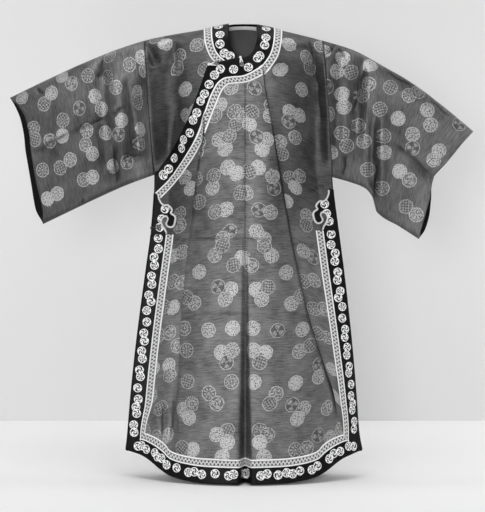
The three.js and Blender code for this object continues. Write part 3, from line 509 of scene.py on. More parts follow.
def thickened(name, mesh, materials, thick):
    """The piece of a sheet's mesh, given its thickness, with the last material on its inside."""
    piece = bpy.data.objects.new(name, mesh)
    bpy.context.collection.objects.link(piece)
    for material in materials:
        mesh.materials.append(material)
    bpy.ops.object.select_all(action="DESELECT")
    bpy.context.view_layer.objects.active = piece
    piece.select_set(True)
    wall = piece.modifiers.new("thickness", "SOLIDIFY")
    wall.thickness = thick * MM
    wall.offset = 0
    wall.use_even_offset = False
    wall.material_offset = len(materials) - 1
    bpy.ops.object.modifier_apply(modifier=wall.name)
    bpy.ops.object.shade_smooth()
    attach(piece, "root")
    return piece


def cloth_mesh(
    name, points, measure, discs, radius, materials, ring=False, keep=None, thick=1.2, lift=0.0, worn=None
):
    """A sheet of cloth from a grid of points in millimetres.

    Its measure and its discs are attributes of its corners, and so is the painted shade that darkens its
    folds.
    """
    rows, columns = points.shape[:2]
    out = outward(points, ring)
    toward = -1 if np.mean(out[..., 1] * np.sign(points[..., 1])) < 0 else 1
    out = out * toward
    lifted = points + out * (np.asarray(lift)[..., None] if np.ndim(lift) else lift)
    count = columns if ring else columns - 1
    r, c = np.meshgrid(np.arange(rows - 1), np.arange(count), indexing="ij")
    c2 = (c + 1) % columns
    quads = np.stack([r * columns + c, (r + 1) * columns + c, (r + 1) * columns + c2, r * columns + c2], -1)
    # A ring's measure goes on past its last column, so that no face runs back across it.
    loop_measure = np.stack([measure[r, c], measure[r + 1, c], measure[r + 1, c2], measure[r, c2]], -2)
    if ring:
        length = measure[0, -1, 0] - measure[0, 0, 0] + np.linalg.norm(points[0, 0] - points[0, -1])
        loop_measure[:, -1, 2:, 0] += length
    if worn is None:
        worn = np.zeros((rows, columns))
    loop_fold_shade = np.stack([worn[r, c], worn[r + 1, c], worn[r + 1, c2], worn[r, c2]], -1).reshape(-1, 4)
    quads = quads.reshape(-1, 4)
    loop_measure = loop_measure.reshape(-1, 4, 2)
    if keep is not None:
        kept = keep(points.reshape(-1, 3)[quads].mean(1))
        quads = quads[kept]
        loop_measure = loop_measure[kept]
        loop_fold_shade = loop_fold_shade[kept]
    if toward > 0:
        quads = quads[:, ::-1]
        loop_measure = loop_measure[:, ::-1]
        loop_fold_shade = loop_fold_shade[:, ::-1]
    mesh = bpy.data.meshes.new(name)
    flat = lifted.reshape(-1, 3) * MM
    used = np.unique(quads)
    index = np.full(len(flat), -1)
    index[used] = np.arange(len(used))
    mesh.from_pydata(flat[used].tolist(), [], index[quads].tolist())
    cloth = mesh.uv_layers.new(name="cloth")
    cloth.data.foreach_set("uv", (loop_measure * MM).astype(np.float32).ravel())
    # Painted shade in the folds, kept on each corner.
    fold_shade_marks = mesh.attributes.new("worn", "FLOAT", "CORNER")
    fold_shade_marks.data.foreach_set("value", loop_fold_shade.astype(np.float32).ravel())
    # A disc is placed by its measure over the cloth, or on a strip by its place, seen square on.
    flat_discs = bool(discs) and "side" in discs[0]
    loop_place = points.reshape(-1, 3)[quads] if flat_discs else loop_measure
    middle = loop_place.mean(1)
    reach = radius + np.linalg.norm(loop_place - middle[:, None], axis=-1).max(1)
    top = np.full(len(quads), -1)
    below = np.full(len(quads), -1)
    for i, disc in enumerate(discs):
        hit = np.linalg.norm(middle - np.array(disc["at"]), axis=-1) < reach
        below[hit] = top[hit]
        top[hit] = i
    for layer, owner in (("disc_top", top), ("disc_below", below)):
        value = np.full((len(quads), 4, 3), 9.0)
        has = owner >= 0
        if has.any():
            at = np.array([disc["at"] for disc in discs])[owner[has]]
            spin = np.array([disc["spin"] for disc in discs])[owner[has]]
            kind = np.array([disc["kind"] for disc in discs])[owner[has]]
            if flat_discs:
                side = np.array([disc["side"] for disc in discs])[owner[has]]
                along = np.array([disc["along"] for disc in discs])[owner[has]]
                off = loop_place[has] - at[:, None]
                local = np.stack([np.einsum("fci,fi->fc", off, axis) for axis in (side, along)], -1) / radius
            else:
                local = (loop_place[has] - at[:, None]) / radius
            cosine = np.cos(spin)[:, None]
            sine = np.sin(spin)[:, None]
            value[has, :, 0] = local[..., 0] * cosine - local[..., 1] * sine
            value[has, :, 1] = local[..., 0] * sine + local[..., 1] * cosine
            value[has, :, 2] = kind[:, None]
        mesh.attributes.new(layer, "FLOAT_VECTOR", "CORNER").data.foreach_set(
            "vector", value.astype(np.float32).ravel()
        )
    return thickened(name, mesh, materials, thick)


def spread(marks):
    """Places between marks, each mark a value for every row and the steps to the next mark."""
    columns = []
    for (value, steps), (after, _) in zip(marks, marks[1:]):
        columns += [mix(value, after, step / steps) for step in range(steps)]
    columns.append(marks[-1][0])
    return np.stack(np.broadcast_arrays(*columns), 1)


# How far down the hem's two corners lie.
HEM_CORNER = 1257


def hem_z(x):
    half = np.where(np.asarray(x) < 0, body["left"](HEM_CORNER), body["right"](HEM_CORNER))
    return -hem_down(np.clip(np.abs(x) / half, 0, 1))


ROUND_STEPS = 12
CHEST_STEPS = 66
SKIRT_STEPS = 128
ARMPIT_ROW = ROUND_STEPS + CHEST_STEPS


def row_height(x, row):
    """The height of a row (whole rows 0 to the hem) at a place across the body."""
    if row <= ROUND_STEPS:
        return top_line(x) - SHOULDER_ROUND * (1 - math.cos(row / ROUND_STEPS * math.pi / 2))
    shoulder = top_line(x) - SHOULDER_ROUND
    armpit = mix(left_under(-266), right_under(268), np.clip(x / 534 + 0.5, 0, 1))
    if row <= ARMPIT_ROW:
        return mix(shoulder, armpit, (row - ROUND_STEPS) / CHEST_STEPS)
    return mix(armpit, hem_z(x), (row - ARMPIT_ROW) / SKIRT_STEPS)


def row_end(row, side):
    x = np.float64(ARMHOLES[side][1])
    for _ in range(8):
        z = row_height(x, row)
        if row <= ARMPIT_ROW:
            x = armhole_x(side, z)
        else:
            x = -body["left"](-z) if side == "left" else body["right"](-z)
    return float(x)


# Steps across the body: the border, beyond a tuck, the tuck's edge, its flank, and half of the groove.
BORDER_STEPS, SIDE_STEPS, CLIFF_STEPS, FLANK_STEPS, GROOVE_STEPS = 8, 18, 5, 22, 4
FRONT_SEAM = BORDER_STEPS + SIDE_STEPS + CLIFF_STEPS + FLANK_STEPS + GROOVE_STEPS
BACK_STEPS = 34
BACK_SEAM = BORDER_STEPS + BACK_STEPS


def body_grid(face):
    rows = range(ARMPIT_ROW + SKIRT_STEPS + 1)
    left = np.array([row_end(row, "left") for row in rows])
    right = np.array([row_end(row, "right") for row in rows])
    down = np.array([-float(row_height(0.0, row)) for row in rows])
    left_border = left + BORDER_WIDTH * np.cos(np.radians(body["turn_left"](down)))
    right_border = right - BORDER_WIDTH * np.cos(np.radians(body["turn_right"](down)))
    if face == "front":
        left_tuck = tuck["left"](down)
        right_tuck = tuck["right"](down)
        foot = np.minimum(right_tuck + TUCK_CLIFF, right_border - 8)
        half = tuck["groove_half"](down)
        marks = [
            (left, BORDER_STEPS), (left_border, SIDE_STEPS), (left_tuck - TUCK_CLIFF, CLIFF_STEPS),
            (left_tuck, FLANK_STEPS), (GROOVE_X - half, GROOVE_STEPS), (GROOVE_X + 0 * down, GROOVE_STEPS),
            (GROOVE_X + half, FLANK_STEPS), (right_tuck, CLIFF_STEPS), (foot, SIDE_STEPS),
            (right_border, BORDER_STEPS), (right, 0),
        ]
    else:
        marks = [
            (left, BORDER_STEPS), (left_border, BACK_STEPS), (0 * down, BACK_STEPS),
            (right_border, BORDER_STEPS), (right, 0),
        ]
    x = spread(marks)
    z = np.stack([row_height(x[row], row) for row in rows])
    points = cloth_points(x, z, face)
    if face == "front":
        # Each tuck's edge hangs over the cloth beyond it, which is drawn in underneath.
        for line, step, outward_x in ((left_tuck, "left_step", -1), (right_tuck, "right_step", 1)):
            hang = ease(tuck[step](down) / 12)[:, None]
            beyond = outward_x * (x - line[:, None])
            over = 5 * ease((beyond + 12) / 12) * (1 - ease(beyond / 2))
            under = 7 * ease(beyond / 5) * (1 - ease((beyond - TUCK_CLIFF) / 22))
            points[..., 0] += outward_x * hang * (over - under)
    return points


NECK = dict(half=44, front=94, back=-22)


def in_neck(x, down, grow, drop):
    half = NECK["half"] + grow
    depth = drop + grow
    turn_at = min(depth * 0.4, 30)
    low = turn_at + (depth - turn_at) * np.sqrt(np.clip(1 - (x / half) ** 2, 0, 1))
    return (np.abs(x) < half) & (down < low)


# The overlap's edges, matched across it: free edge, edge of the satin band, and edge of the ribbon.
OVERLAP = table(
    "edge_x edge_down band_x band_down ribbon_x ribbon_down",
    (44, -14.5, 93, -4.5, 117, 3),
    (44, 5, 93, 18, 116, 24),
    (43, 34, 90, 50, 113, 54),
    (36, 64, 82, 80, 104, 88),
    (23, 84, 66, 106, 88, 115),
    (7, 93, 44, 128, 65, 143),
    (-12, 94, 6, 149, 16, 168),
    (-38, 100, -32, 153, -26, 173),
    (-72, 108, -54, 156, -44, 176),
    (-95, 111, -73, 169, -57, 188),
    (-106, 124, -85, 188, -66, 204),
    (-117, 156, -98, 216, -77, 231),
    (-139, 217, -112, 258, -91, 266),
    (-156, 262, -127, 302, -105, 304),
    (-178, 305, -144, 340, -122, 344),
    (-207, 355, -165, 375, -144, 384),
    (-234, 396, -191, 413, -173, 424),
    (-254, 424, -226, 455, -206, 464),
    (-266, 442, -262, 490, -246, 505),
)
overlap_edge_x = through([row for row in OVERLAP if row["edge_down"] >= 108], "edge_down", "edge_x")


def front_kept(centre):
    x = centre[:, 0]
    down = -centre[:, 2]
    across = np.interp(x, [-103, -88, -56, -20, 10], [118, 110, 108, 95, -90])
    beyond = np.where(down > 118, x > overlap_edge_x(down) + 8, (x > -100) & (down > across + 8))
    beyond = beyond | (x > 10) | (down > 436)
    return beyond & ~in_neck(x, down, 8, NECK["front"])


# Roundels on the half of the body that is right of the middle seam; the left half mirrors them. Each row
# is a cluster of one to three discs, the first at its place and the others a step away in a direction.
BODY_ROUNDELS = table(
    "x down discs turn",
    (33, 185, 1, 0), (134, 53, 1, 0), (186, 90, 2, -70), (113, 127, 1, 0), (173, 185, 1, 0),
    (66, 238, 2, -60), (2, 268, 3, -130), (140, 251, 3, -25), (154, 328, 1, 0), (232, 52, 2, 40),
    (70, 339, 3, -120), (111, 343, 2, -80), (46, 421, 2, 205), (91, 478, 2, 100), (8, 495, 1, 0),
    (139, 448, 3, 10), (48, 541, 2, -15), (190, 557, 2, -90), (130, 519, 1, 0), (38, 606, 2, -45),
    (81, 676, 2, 125), (2, 684, 2, -40), (128, 727, 1, 0), (206, 681, 2, 150), (209, 751, 2, 190),
    (38, 774, 3, 15), (140, 816, 2, 35), (206, 832, 2, -5), (27, 886, 1, 0), (102, 892, 1, 0),
    (170, 890, 1, 0), (250, 917, 2, 160), (62, 959, 3, -120), (36, 1040, 1, 0), (163, 957, 2, 25),
    (158, 1045, 1, 0), (262, 1012, 1, 0), (220, 1000, 2, -90), (97, 1080, 2, -130), (274, 1095, 1, 0),
    (175, 1125, 3, -130), (242, 1128, 1, 0), (46, 1184, 3, -20), (225, 1205, 2, -15), (289, 1196, 1, 0),
    (150, 1245, 2, 10), (60, 1262, 1, 0),
)
ROUNDEL = dict(radius=22.3, step=32)


def cluster(x, down, discs, turn):
    """The places of a cluster's discs; the third bends back beside the first two."""
    step = ROUNDEL["step"]
    angle = math.radians(turn)
    places = [(x, down)]
    if discs > 1:
        places.append((x + step * math.cos(angle), down - step * math.sin(angle)))
    if discs > 2:
        bend = angle - math.radians(75)
        places.append((x + step * math.cos(bend), down - step * math.sin(bend)))
    return places


def roundels(points, measure, rows):
    discs = []
    for row in rows:
        for side in (1, -1):
            for x, down in cluster(row["x"], row["down"], row["discs"], row["turn"]):
                i = len(discs)
                discs.append(dict(
                    at=nearest_measure(points, measure, side * x, down), kind=(i * 7) % 12, spin=i * 1.3
                ))
    return discs


def disc_motif(wire, layer, wobble, flecks):
    """Polar pattern of one disc: how far inside its rim, how pale its weave is there, and its own tone."""
    place = wire.node("ShaderNodeAttribute", dict(attribute_name=layer), out=1)
    split = wire.node("ShaderNodeSeparateXYZ", None, Vector=place)
    u = split + wobble * 0.3
    v = Wire(wire.tree, split.socket.node.outputs[1]) - wobble * 0.26
    kind = Wire(wire.tree, split.socket.node.outputs[2])
    own = wire.math("FRACT", kind * 0.37)
    r = wire.math("SQRT", u * u + v * v)
    angle = wire.math("ARCTAN2", v, u)
    inside = 1 - r.between(0.96, 1.03)
    petals = wire.math("FLOOR", kind / 3) * 3 + 3
    twist = wire.math("MODULO", kind, 3.0) * 3.2
    wheel = wire.math("SINE", angle * petals + r * twist + wobble * 4.0).between(-0.5, 0.3)
    wheel = wheel * r.between(0.2, 0.3) * (1 - r.between(0.7, 0.78))
    heart = 1 - r.between(0.12, 0.2)
    inner_ring = r.between(0.38, 0.43) * (1 - r.between(0.5, 0.55))
    across = wire.math("SINE", (u + v) * 9.0)
    other = wire.math("SINE", (u - v) * 9.0)
    lattice = (across * other + wobble * 0.8).between(-0.25, 0.25) * (1 - r.between(0.76, 0.84))
    is_lattice = wire.math("MODULO", kind, 4.0) > 2.5
    is_ringed = wire.math("MODULO", kind, 2.0) > 0.5
    flower = wire.math("MAXIMUM", wire.math("MAXIMUM", wheel, heart), inner_ring * is_ringed)
    inner = flower * (1 - is_lattice) + lattice * is_lattice
    leafy = (flecks + (own - 0.5) * 0.16).between(0.4, 0.54) * (1 - r.between(0.8, 0.86))
    inner = (own.between(0.1, 0.8) * 0.6 + 0.3).mixed(inner, leafy)
    rim = r.between(0.83, 0.87) * flecks.between(0.3, 0.46)
    return inside, wire.math("MAXIMUM", inner, rim), own


TAPESTRY = dict(ground=0.16, pale=0.58, dark=0.085)
SATIN_PALE = 0.85
SEAM_LINE = dict(half=0.0012, pucker=0.012, stitch=0.006)


def weave_height(wire, pitch):
    cloth = wire.node("ShaderNodeUVMap", dict(uv_map="cloth"))
    split = wire.node("ShaderNodeSeparateXYZ", None, Vector=cloth)
    across = split
    down = Wire(wire.tree, split.socket.node.outputs[1])
    warp = wire.math("SINE", across * (2 * math.pi / pitch))
    weft = wire.math("SINE", down * (2 * math.pi / (pitch * 0.6)))
    return cloth, warp * 0.6 + weft * 0.4


def seam_marks(wire, cloth):
    """The seam at across 0: a dark line of stitches, and the small puckers beside it."""
    split = wire.node("ShaderNodeSeparateXYZ", None, Vector=cloth)
    down = Wire(wire.tree, split.socket.node.outputs[1])
    bend = wire.node("ShaderNodeTexNoise", None, Vector=cloth, Scale=40.0, Detail=1.0)
    off = wire.math("ABSOLUTE", split + (bend - 0.5) * 0.004)
    line = 1 - off.between(SEAM_LINE["half"], SEAM_LINE["half"] * 2.2)
    uneven = wire.node("ShaderNodeTexNoise", None, Vector=cloth, Scale=120.0, Detail=2.0)
    stitch = wire.math("SINE", down * (2 * math.pi / SEAM_LINE["stitch"])) + (uneven - 0.5) * 4.0
    near = 1 - off.between(0.0, SEAM_LINE["pucker"])
    pucker = wire.math("SINE", down * (2 * math.pi / (SEAM_LINE["stitch"] * 2.3)) + uneven * 9.0) * near
    return line * stitch.between(-0.9, 0.3), pucker


def painted_shade_mask(wire):
    """1 where shade is painted into the silk: beside the armholes, and on the lower parts of the sleeves."""
    place = wire.node("ShaderNodeTexCoord", None, out=3)
    split = wire.node("ShaderNodeSeparateXYZ", None, Vector=place)
    z = Wire(wire.tree, split.socket.node.outputs[2])
    uneven = wire.node("ShaderNodeTexNoise", None, Vector=place, Scale=7.0, Detail=2.0) - 0.5
    x = split + uneven * 0.12
    left = x.between(-0.36, -0.25) * (1 - x.between(-0.14, -0.09))
    right = x.between(0.045, 0.1) * (1 - x.between(0.27, 0.38))
    low = (z + uneven * 0.2).between(-0.68, -0.5)
    beside = wire.math("MAXIMUM", left, right) * low
    sleeve_left = (1 - x.between(-0.36, -0.3)) * (1 - (z + uneven * 0.1).between(-0.34, -0.08))
    sleeve_right = x.between(0.27, 0.31) * (1 - x.between(0.46, 0.62)) * (1 - z.between(-0.28, -0.06)) * 0.7
    return wire.math("MAXIMUM", beside, wire.math("MAXIMUM", sleeve_left, sleeve_right))


def dimmed(wire, colour, mask, keep):
    """The colour times `keep` where the mask is 1."""
    mix_node = wire.node("ShaderNodeMix", dict(data_type="RGBA", blend_type="MULTIPLY"), out=2, i6=colour)
    mix_node.socket.node.inputs[7].default_value = (keep, keep, keep, 1)
    wire.tree.links.new(mask.socket, mix_node.socket.node.inputs[0])
    return mix_node


def tapestry_material():
    material, wire, shader = new_material("tapestry", 0.42, metallic=0.65, across_grain=0.9)
    cloth, weave = weave_height(wire, 0.0011)
    stretched = wire.node(
        "ShaderNodeVectorMath", dict(operation="MULTIPLY"), i0=cloth, i1=(30.0, 300.0, 1.0)
    )
    slub = wire.node("ShaderNodeTexNoise", None, Vector=stretched, Scale=1.0, Detail=2.0)
    cloudy = wire.node("ShaderNodeTexNoise", None, Vector=cloth, Scale=14.0, Detail=5.0, Roughness=0.65)
    thread = wire.node("ShaderNodeTexNoise", None, Vector=cloth, Scale=330.0, Detail=3.0)
    flecks = wire.node("ShaderNodeTexNoise", None, Vector=cloth, Scale=260.0, Detail=1.0)
    wobble = wire.node("ShaderNodeTexNoise", None, Vector=cloth, Scale=95.0, Detail=2.0) - 0.5
    ground_tone = (slub - 0.5) * 1.7 + (cloudy - 0.5) * 1.8 + (thread - 0.5) * 1.0 + 0.5
    # Painted shade beside the armholes and on the lower sleeves darkens the ground, and more lightly the
    # discs.
    painted_shade = painted_shade_mask(wire)
    colour = dimmed(wire, ground_tone.mixed(TAPESTRY["ground"] * 0.5, TAPESTRY["ground"] * 1.5), painted_shade, 0.6)
    relief = weave * 0.25 + thread * 0.2
    for layer in ("disc_below", "disc_top"):
        inside, pale, own = disc_motif(wire, layer, wobble, flecks)
        shade = (pale * (0.6 + own * 0.35) + (thread - 0.5) * 1.2 + (cloudy - 0.5) * 0.5).between(0.0, 1.0)
        disc = shade.mixed(TAPESTRY["dark"], TAPESTRY["pale"])
        colour = (inside * 0.92).mixed(colour, disc)
        relief = relief + inside * pale * 0.5
    # The painted shade again, over the discs as well.
    colour = dimmed(wire, colour, painted_shade, 0.83)
    seam, pucker = seam_marks(wire, cloth)
    # Painted shade in the folds, together with the dark seam stitches, takes the colour nearly to black.
    worn = wire.node("ShaderNodeAttribute", dict(attribute_name="worn"), out=2)
    dark = wire.math("MAXIMUM", seam * 0.85, worn)
    colour = dark.mixed(colour, 0.01)
    colour_to(colour, shader)
    bump_to(relief + pucker * 0.9 - seam, shader, 0.4, 0.0008)
    return material


def lining_material():
    material, wire, shader = new_material("lining", 0.5, sheen=0.2)
    cloth, weave = weave_height(wire, 0.0008)
    tone = wire.node("ShaderNodeTexNoise", None, Vector=cloth, Scale=14.0, Detail=3.0)
    colour_to(tone.mixed(0.035, 0.06), shader)
    bump_to(weave, shader, 0.2, 0.0004)
    return material


tapestry = tapestry_material()
lining = lining_material()


def painted_crease_shade(points, face):
    """How dark the painted shade in a crease is at each point of a cloth, from the depth of the sharp creases
    there.
    """
    lines = [fold | dict(width=4.6, depth=min(1, fold["depth"] / 5)) for fold in CREASES]
    return 0.8 * ease(fold_depth(points[..., 0], points[..., 2], face, lines, True) / 0.75 - 0.2)


front_points = body_grid("front")
# Painted shade along the front's creases.
front_fold_shade = painted_crease_shade(front_points, "front")
front_down = -front_points[:, FRONT_SEAM, 2]
left_tuck_column = BORDER_STEPS + SIDE_STEPS + CLIFF_STEPS
right_tuck_column = FRONT_SEAM + GROOVE_STEPS + FLANK_STEPS
# Painted shadow under each tuck's overhanging edge: three columns darkened where the tuck is deep.
for step, first in (("left_step", left_tuck_column - 3), ("right_step", right_tuck_column)):
    tuck_shadow = ease(tuck[step](front_down) / 7)[:, None]
    front_fold_shade[:, first:first + 3] = np.maximum(front_fold_shade[:, first:first + 3], 0.9 * tuck_shadow)
front_measure = cloth_measure(front_points, FRONT_SEAM)
front_discs = roundels(front_points, front_measure, BODY_ROUNDELS)
front = cloth_mesh(
    "front_cloth", front_points, front_measure, front_discs, ROUNDEL["radius"],
    [tapestry, lining], keep=front_kept, worn=front_fold_shade,
)
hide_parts("front_left", "front_right")

# Underlap: the short inner front, seen between the neck, the shoulder and the overlap. It is the same
# tapestry and lies just behind the front.
UNDERLAP_BEHIND = 4


def outside_overlap(points):
    """How far a point is outside the free edge of the overlap, seen from the front."""
    line = np.array([(row["edge_x"], -row["edge_down"]) for row in OVERLAP[6:]], float)
    flat = points[..., [0, 2]].reshape(-1, 2)
    best = np.full(len(flat), 1e9)
    sign = np.ones(len(flat))
    for start, end in zip(line, line[1:]):
        along = end - start
        to = flat - start
        t = np.clip((to @ along) / (along @ along), 0, 1)
        gap = np.linalg.norm(to - t[:, None] * along, axis=-1)
        side = np.where(along[0] * to[:, 1] - along[1] * to[:, 0] < 0, 1.0, -1.0)
        closer = gap < best
        best[closer] = gap[closer]
        sign[closer] = side[closer]
    return (best * sign).reshape(points.shape[:-1])


def underlap_lift(points):
    return -UNDERLAP_BEHIND * (1 - ease((outside_overlap(points) - 10) / 50))


def underlap_kept(centre):
    x = centre[:, 0]
    down = -centre[:, 2]
    free = np.interp(down, [0, 130, 260, 400, 540], [4, 4, -40, -80, -110])
    return (x < free) & (down < 540) & ((down < 428) | (x > -238)) & ~in_neck(x, down, 8, NECK["front"])


underlap = cloth_mesh(
    "underlap_cloth", front_points[: ARMPIT_ROW + 22], front_measure[: ARMPIT_ROW + 22], front_discs,
    ROUNDEL["radius"], [tapestry, lining], keep=underlap_kept,
    lift=underlap_lift(front_points[: ARMPIT_ROW + 22]),
)
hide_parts("underlap")

# Back: two panels of the same tapestry joined down the middle, with the same roundels.
back_points = body_grid("back")
back_measure = cloth_measure(back_points, BACK_SEAM)
back_discs = roundels(back_points, back_measure, BODY_ROUNDELS)
# The back's creases carry painted shade.
back = cloth_mesh(
    "back_cloth", back_points, back_measure, back_discs, ROUNDEL["radius"], [tapestry, lining],
    worn=painted_crease_shade(back_points, "back"),
    keep=lambda centre: ~in_neck(centre[:, 0], -centre[:, 2], 6, NECK["back"]),
)
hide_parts("back_left", "back_right")

# Sleeves: wide tubes of tapestry sewn to the body at the armholes, with a dark silk facing in each cuff.
CUFFS = dict(left=(-699, -600), right=(690, 528))
CUFF_BOWS = dict(
    left=table(
        "down front back",
        (0, 0, 0), (0.06, 20, 5), (0.17, 35, 10), (0.27, 35, 8), (0.43, 25, -1), (0.67, 16, -8),
        (0.88, 12, -13), (1, 0, 0),
    ),
    right=table(
        "down front back",
        (0, 0, 0), (0.12, 18, 11), (0.29, 36, 28), (0.42, 52, 44), (0.64, 31, 18), (0.8, 18, 0),
        (0.92, 9, -6), (1, 0, 0),
    ),
)
# Where the roundels lie on each sleeve, across and down; its back has the same.
SLEEVE_ROUNDELS = dict(
    left=(
        (-658, 207), (-569, 195), (-590, 229), (-539, 144), (-507, 165), (-459, 143), (-401, 146),
        (-378, 182), (-337, 110), (-302, 90), (-289, 129), (-484, 239), (-440, 205), (-423, 239),
        (-536, 273), (-533, 322), (-573, 337), (-620, 299), (-616, 333), (-463, 303), (-469, 345),
        (-449, 371), (-409, 313), (-370, 316), (-357, 277), (-314, 190), (-310, 224), (-302, 303),
        (-304, 341), (-598, 420), (-544, 413), (-513, 390), (-478, 450), (-449, 443), (-389, 409),
        (-346, 397), (-582, 507), (-554, 492), (-397, 86),
    ),
    right=(
        (294, 92), (276, 133), (321, 131), (378, 109), (371, 167), (356, 203), (438, 179), (490, 202),
        (520, 189), (545, 246), (555, 289), (643, 286), (296, 197), (299, 238), (403, 245), (458, 272),
        (345, 292), (295, 310), (309, 349), (357, 336), (420, 326), (420, 369), (504, 316), (502, 361),
        (579, 367), (563, 393), (373, 419), (466, 425), (492, 453), (414, 478), (486, 532), (518, 556),
        (244, 258), (256, 373), (238, 70), (236, 181),
    ),
)
RING_STEPS = 84
SLEEVE_STEPS = 100
CUFF_FACING = 55


def facing_material():
    material, wire, shader = new_material("facing", 0.6, specular=0.08)
    cloth, weave = weave_height(wire, 0.0009)
    tone = wire.node("ShaderNodeTexNoise", None, Vector=cloth, Scale=30.0, Detail=3.0)
    colour_to(tone.mixed(0.004, 0.011), shader)
    bump_to(weave, shader, 0.25, 0.0004)
    return material


facing_silk = facing_material()


def sleeve_grid(side):
    sign = -1 if side == "left" else 1
    armhole = ARMHOLES[side]
    cuff = CUFFS[side]
    bow = {face: through(CUFF_BOWS[side], "down", face) for face in ("front", "back")}
    share = (1 - np.cos(np.linspace(0, 1, RING_STEPS + 1) ** 0.9 * math.pi)) / 2
    along = np.linspace(0, 1, SLEEVE_STEPS + 1)[:, None]
    halves = []
    for face in ("front", "back"):
        top_x = mix(armhole[0], cuff[0], along) + sign * 0.3 * (1 - along)
        bottom_x = mix(armhole[1], cuff[1], along) + sign * 0.3 * (1 - along)
        q = share[None, :]
        x = mix(top_x, bottom_x, q) - sign * bow[face](q) * ease((along - 0.45) / 0.55)
        z = mix(top_line(top_x), under_line(bottom_x), q)
        depth = form(x, np.minimum(z, top_line(x)), face)
        depth = np.where((q == 0) | (q == 1), 0, depth)
        halves.append(np.stack([x, -depth if face == "front" else depth, z], -1))
    ring = np.concatenate([halves[0], halves[1][:, -2:0:-1]], 1)
    return ring[:, ::-1] if side == "left" else ring


def sleeve_measure(points):
    length = np.linalg.norm(np.diff(points[:, : RING_STEPS], axis=0), axis=-1).mean(1)
    along = np.concatenate([[0], np.cumsum(length)])
    around = np.linalg.norm(np.diff(points, axis=1), axis=-1).mean(0)
    around = np.concatenate([[0], np.cumsum(around)])
    return np.stack(np.broadcast_arrays(around[None, :], along[:, None]), -1)


def disc_on(points, row, column, i):
    """A roundel set flat on the cloth at one of its points."""
    at = points[row, column]
    across = points[row, min(column + 1, points.shape[1] - 1)] - points[row, column - 1]
    down = points[min(row + 2, len(points) - 1), column] - points[max(row - 2, 0), column]
    normal = np.cross(across, down)
    normal /= np.linalg.norm(normal)
    side = np.cross([0, 0, 1], normal)
    side /= np.linalg.norm(side)
    return dict(at=at, side=side, along=np.cross(normal, side), kind=(i * 5) % 7, spin=i * 2.1 + row)


def disc_near(points, x, down, i, face=None):
    """A roundel where the cloth is nearest to x and down, on its front or its back if that is given."""
    gap = (points[..., 0] - x) ** 2 + (points[..., 2] + down) ** 2
    if face:
        gap = gap + 1e6 * (points[..., 1] * (-1 if face == "front" else 1) < 0)
    row, column = np.unravel_index(np.argmin(gap), gap.shape)
    return disc_on(points, row, max(int(column), 1), i)


for side in ("left", "right"):
    points = sleeve_grid(side)
    measure = sleeve_measure(points)
    discs = []
    for face in ("front", "back"):
        for x, down in SLEEVE_ROUNDELS[side]:
            discs.append(disc_near(points, x, down, len(discs), face))
            discs[-1]["kind"] = len(discs) * 5 % 12
            if side == "left":
                discs[-1]["side"] = discs[-1]["side"] * 1.16
    # Painted shade along the sleeve's creases, front and back; the row at the armhole seam is painted dark as
    # well.
    worn = np.where(points[..., 1] < 0, painted_crease_shade(points, "front"), painted_crease_shade(points, "back"))
    worn[0] = 0.9
    sleeve = cloth_mesh(
        f"sleeve_{side}_cloth", points, measure, discs, ROUNDEL["radius"], [tapestry, lining], ring=True,
        worn=worn,
    )
    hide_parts(f"sleeve_{side}")
    deep = int(round(CUFF_FACING / (measure[-1, 0, 1] / SLEEVE_STEPS)))
    facing = cloth_mesh(
        f"cuff_facing_{side}_cloth", points[-deep - 1 :], measure[-deep - 1 :], [], 1, [facing_silk],
        ring=True, lift=-1.7, thick=0.8,
    )
    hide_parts(f"cuff_facing_{side}")

# Borders: black satin strips woven with small roundels, cut on the straight and mitred at the corners. They
# are sewn over the edges of the slits and the hem, front and back, and turned in behind them.
SATIN_ROUNDEL = 13.5
CLOUD_TIP = dict(left=500, right=488)
CLOUD_FOOT = 114
SATIN_LIFT = 1.25
BORDER_CHART = (
    (123, 0), (157, 4), (181, -5), (205, 2), (240, -3), (263, 2), (296, -2), (319, 4), (341, -5), (377, 2),
    (410, -5), (434, 3), (463, -3), (489, 3), (520, -3), (542, 3), (574, 0), (609, 5), (630, -4), (654, 3),
    (685, -4), (709, 3),
)
HEM_CHART = (
    -313, -301, -287, -262, -253, -241, -223, -193, -158, -140, -121, -82, -43, -26, 5, 16, 50, 68, 101, 126,
    144, 165, 200, 218, 253, 267, 286, 314, 330,
)


def smooth_rows(rows, count):
    """Rows of numbers along a smooth curve through the given rows, evenly spaced along it."""
    rows = np.array(rows, float)
    padded = np.concatenate([2 * rows[:1] - rows[1:2], rows, 2 * rows[-1:] - rows[-2:-1]])
    fine = []
    for i in range(len(rows) - 1):
        a, b, c, d = padded[i : i + 4]
        for t in np.linspace(0, 1, 24, endpoint=False):
            fine.append(0.5 * (2 * b + (c - a) * t + (2 * a - 5 * b + 4 * c - d) * t**2
                               + (3 * b - a - 3 * c + d) * t**3))
    fine = np.array(fine + [rows[-1]])
    step = np.linalg.norm(np.diff(fine, axis=0), axis=1)
    travelled = np.concatenate([[0], np.cumsum(step)])
    places = np.linspace(0, travelled[-1], count + 1)
    return np.stack([np.interp(places, travelled, column) for column in fine.T], 1)


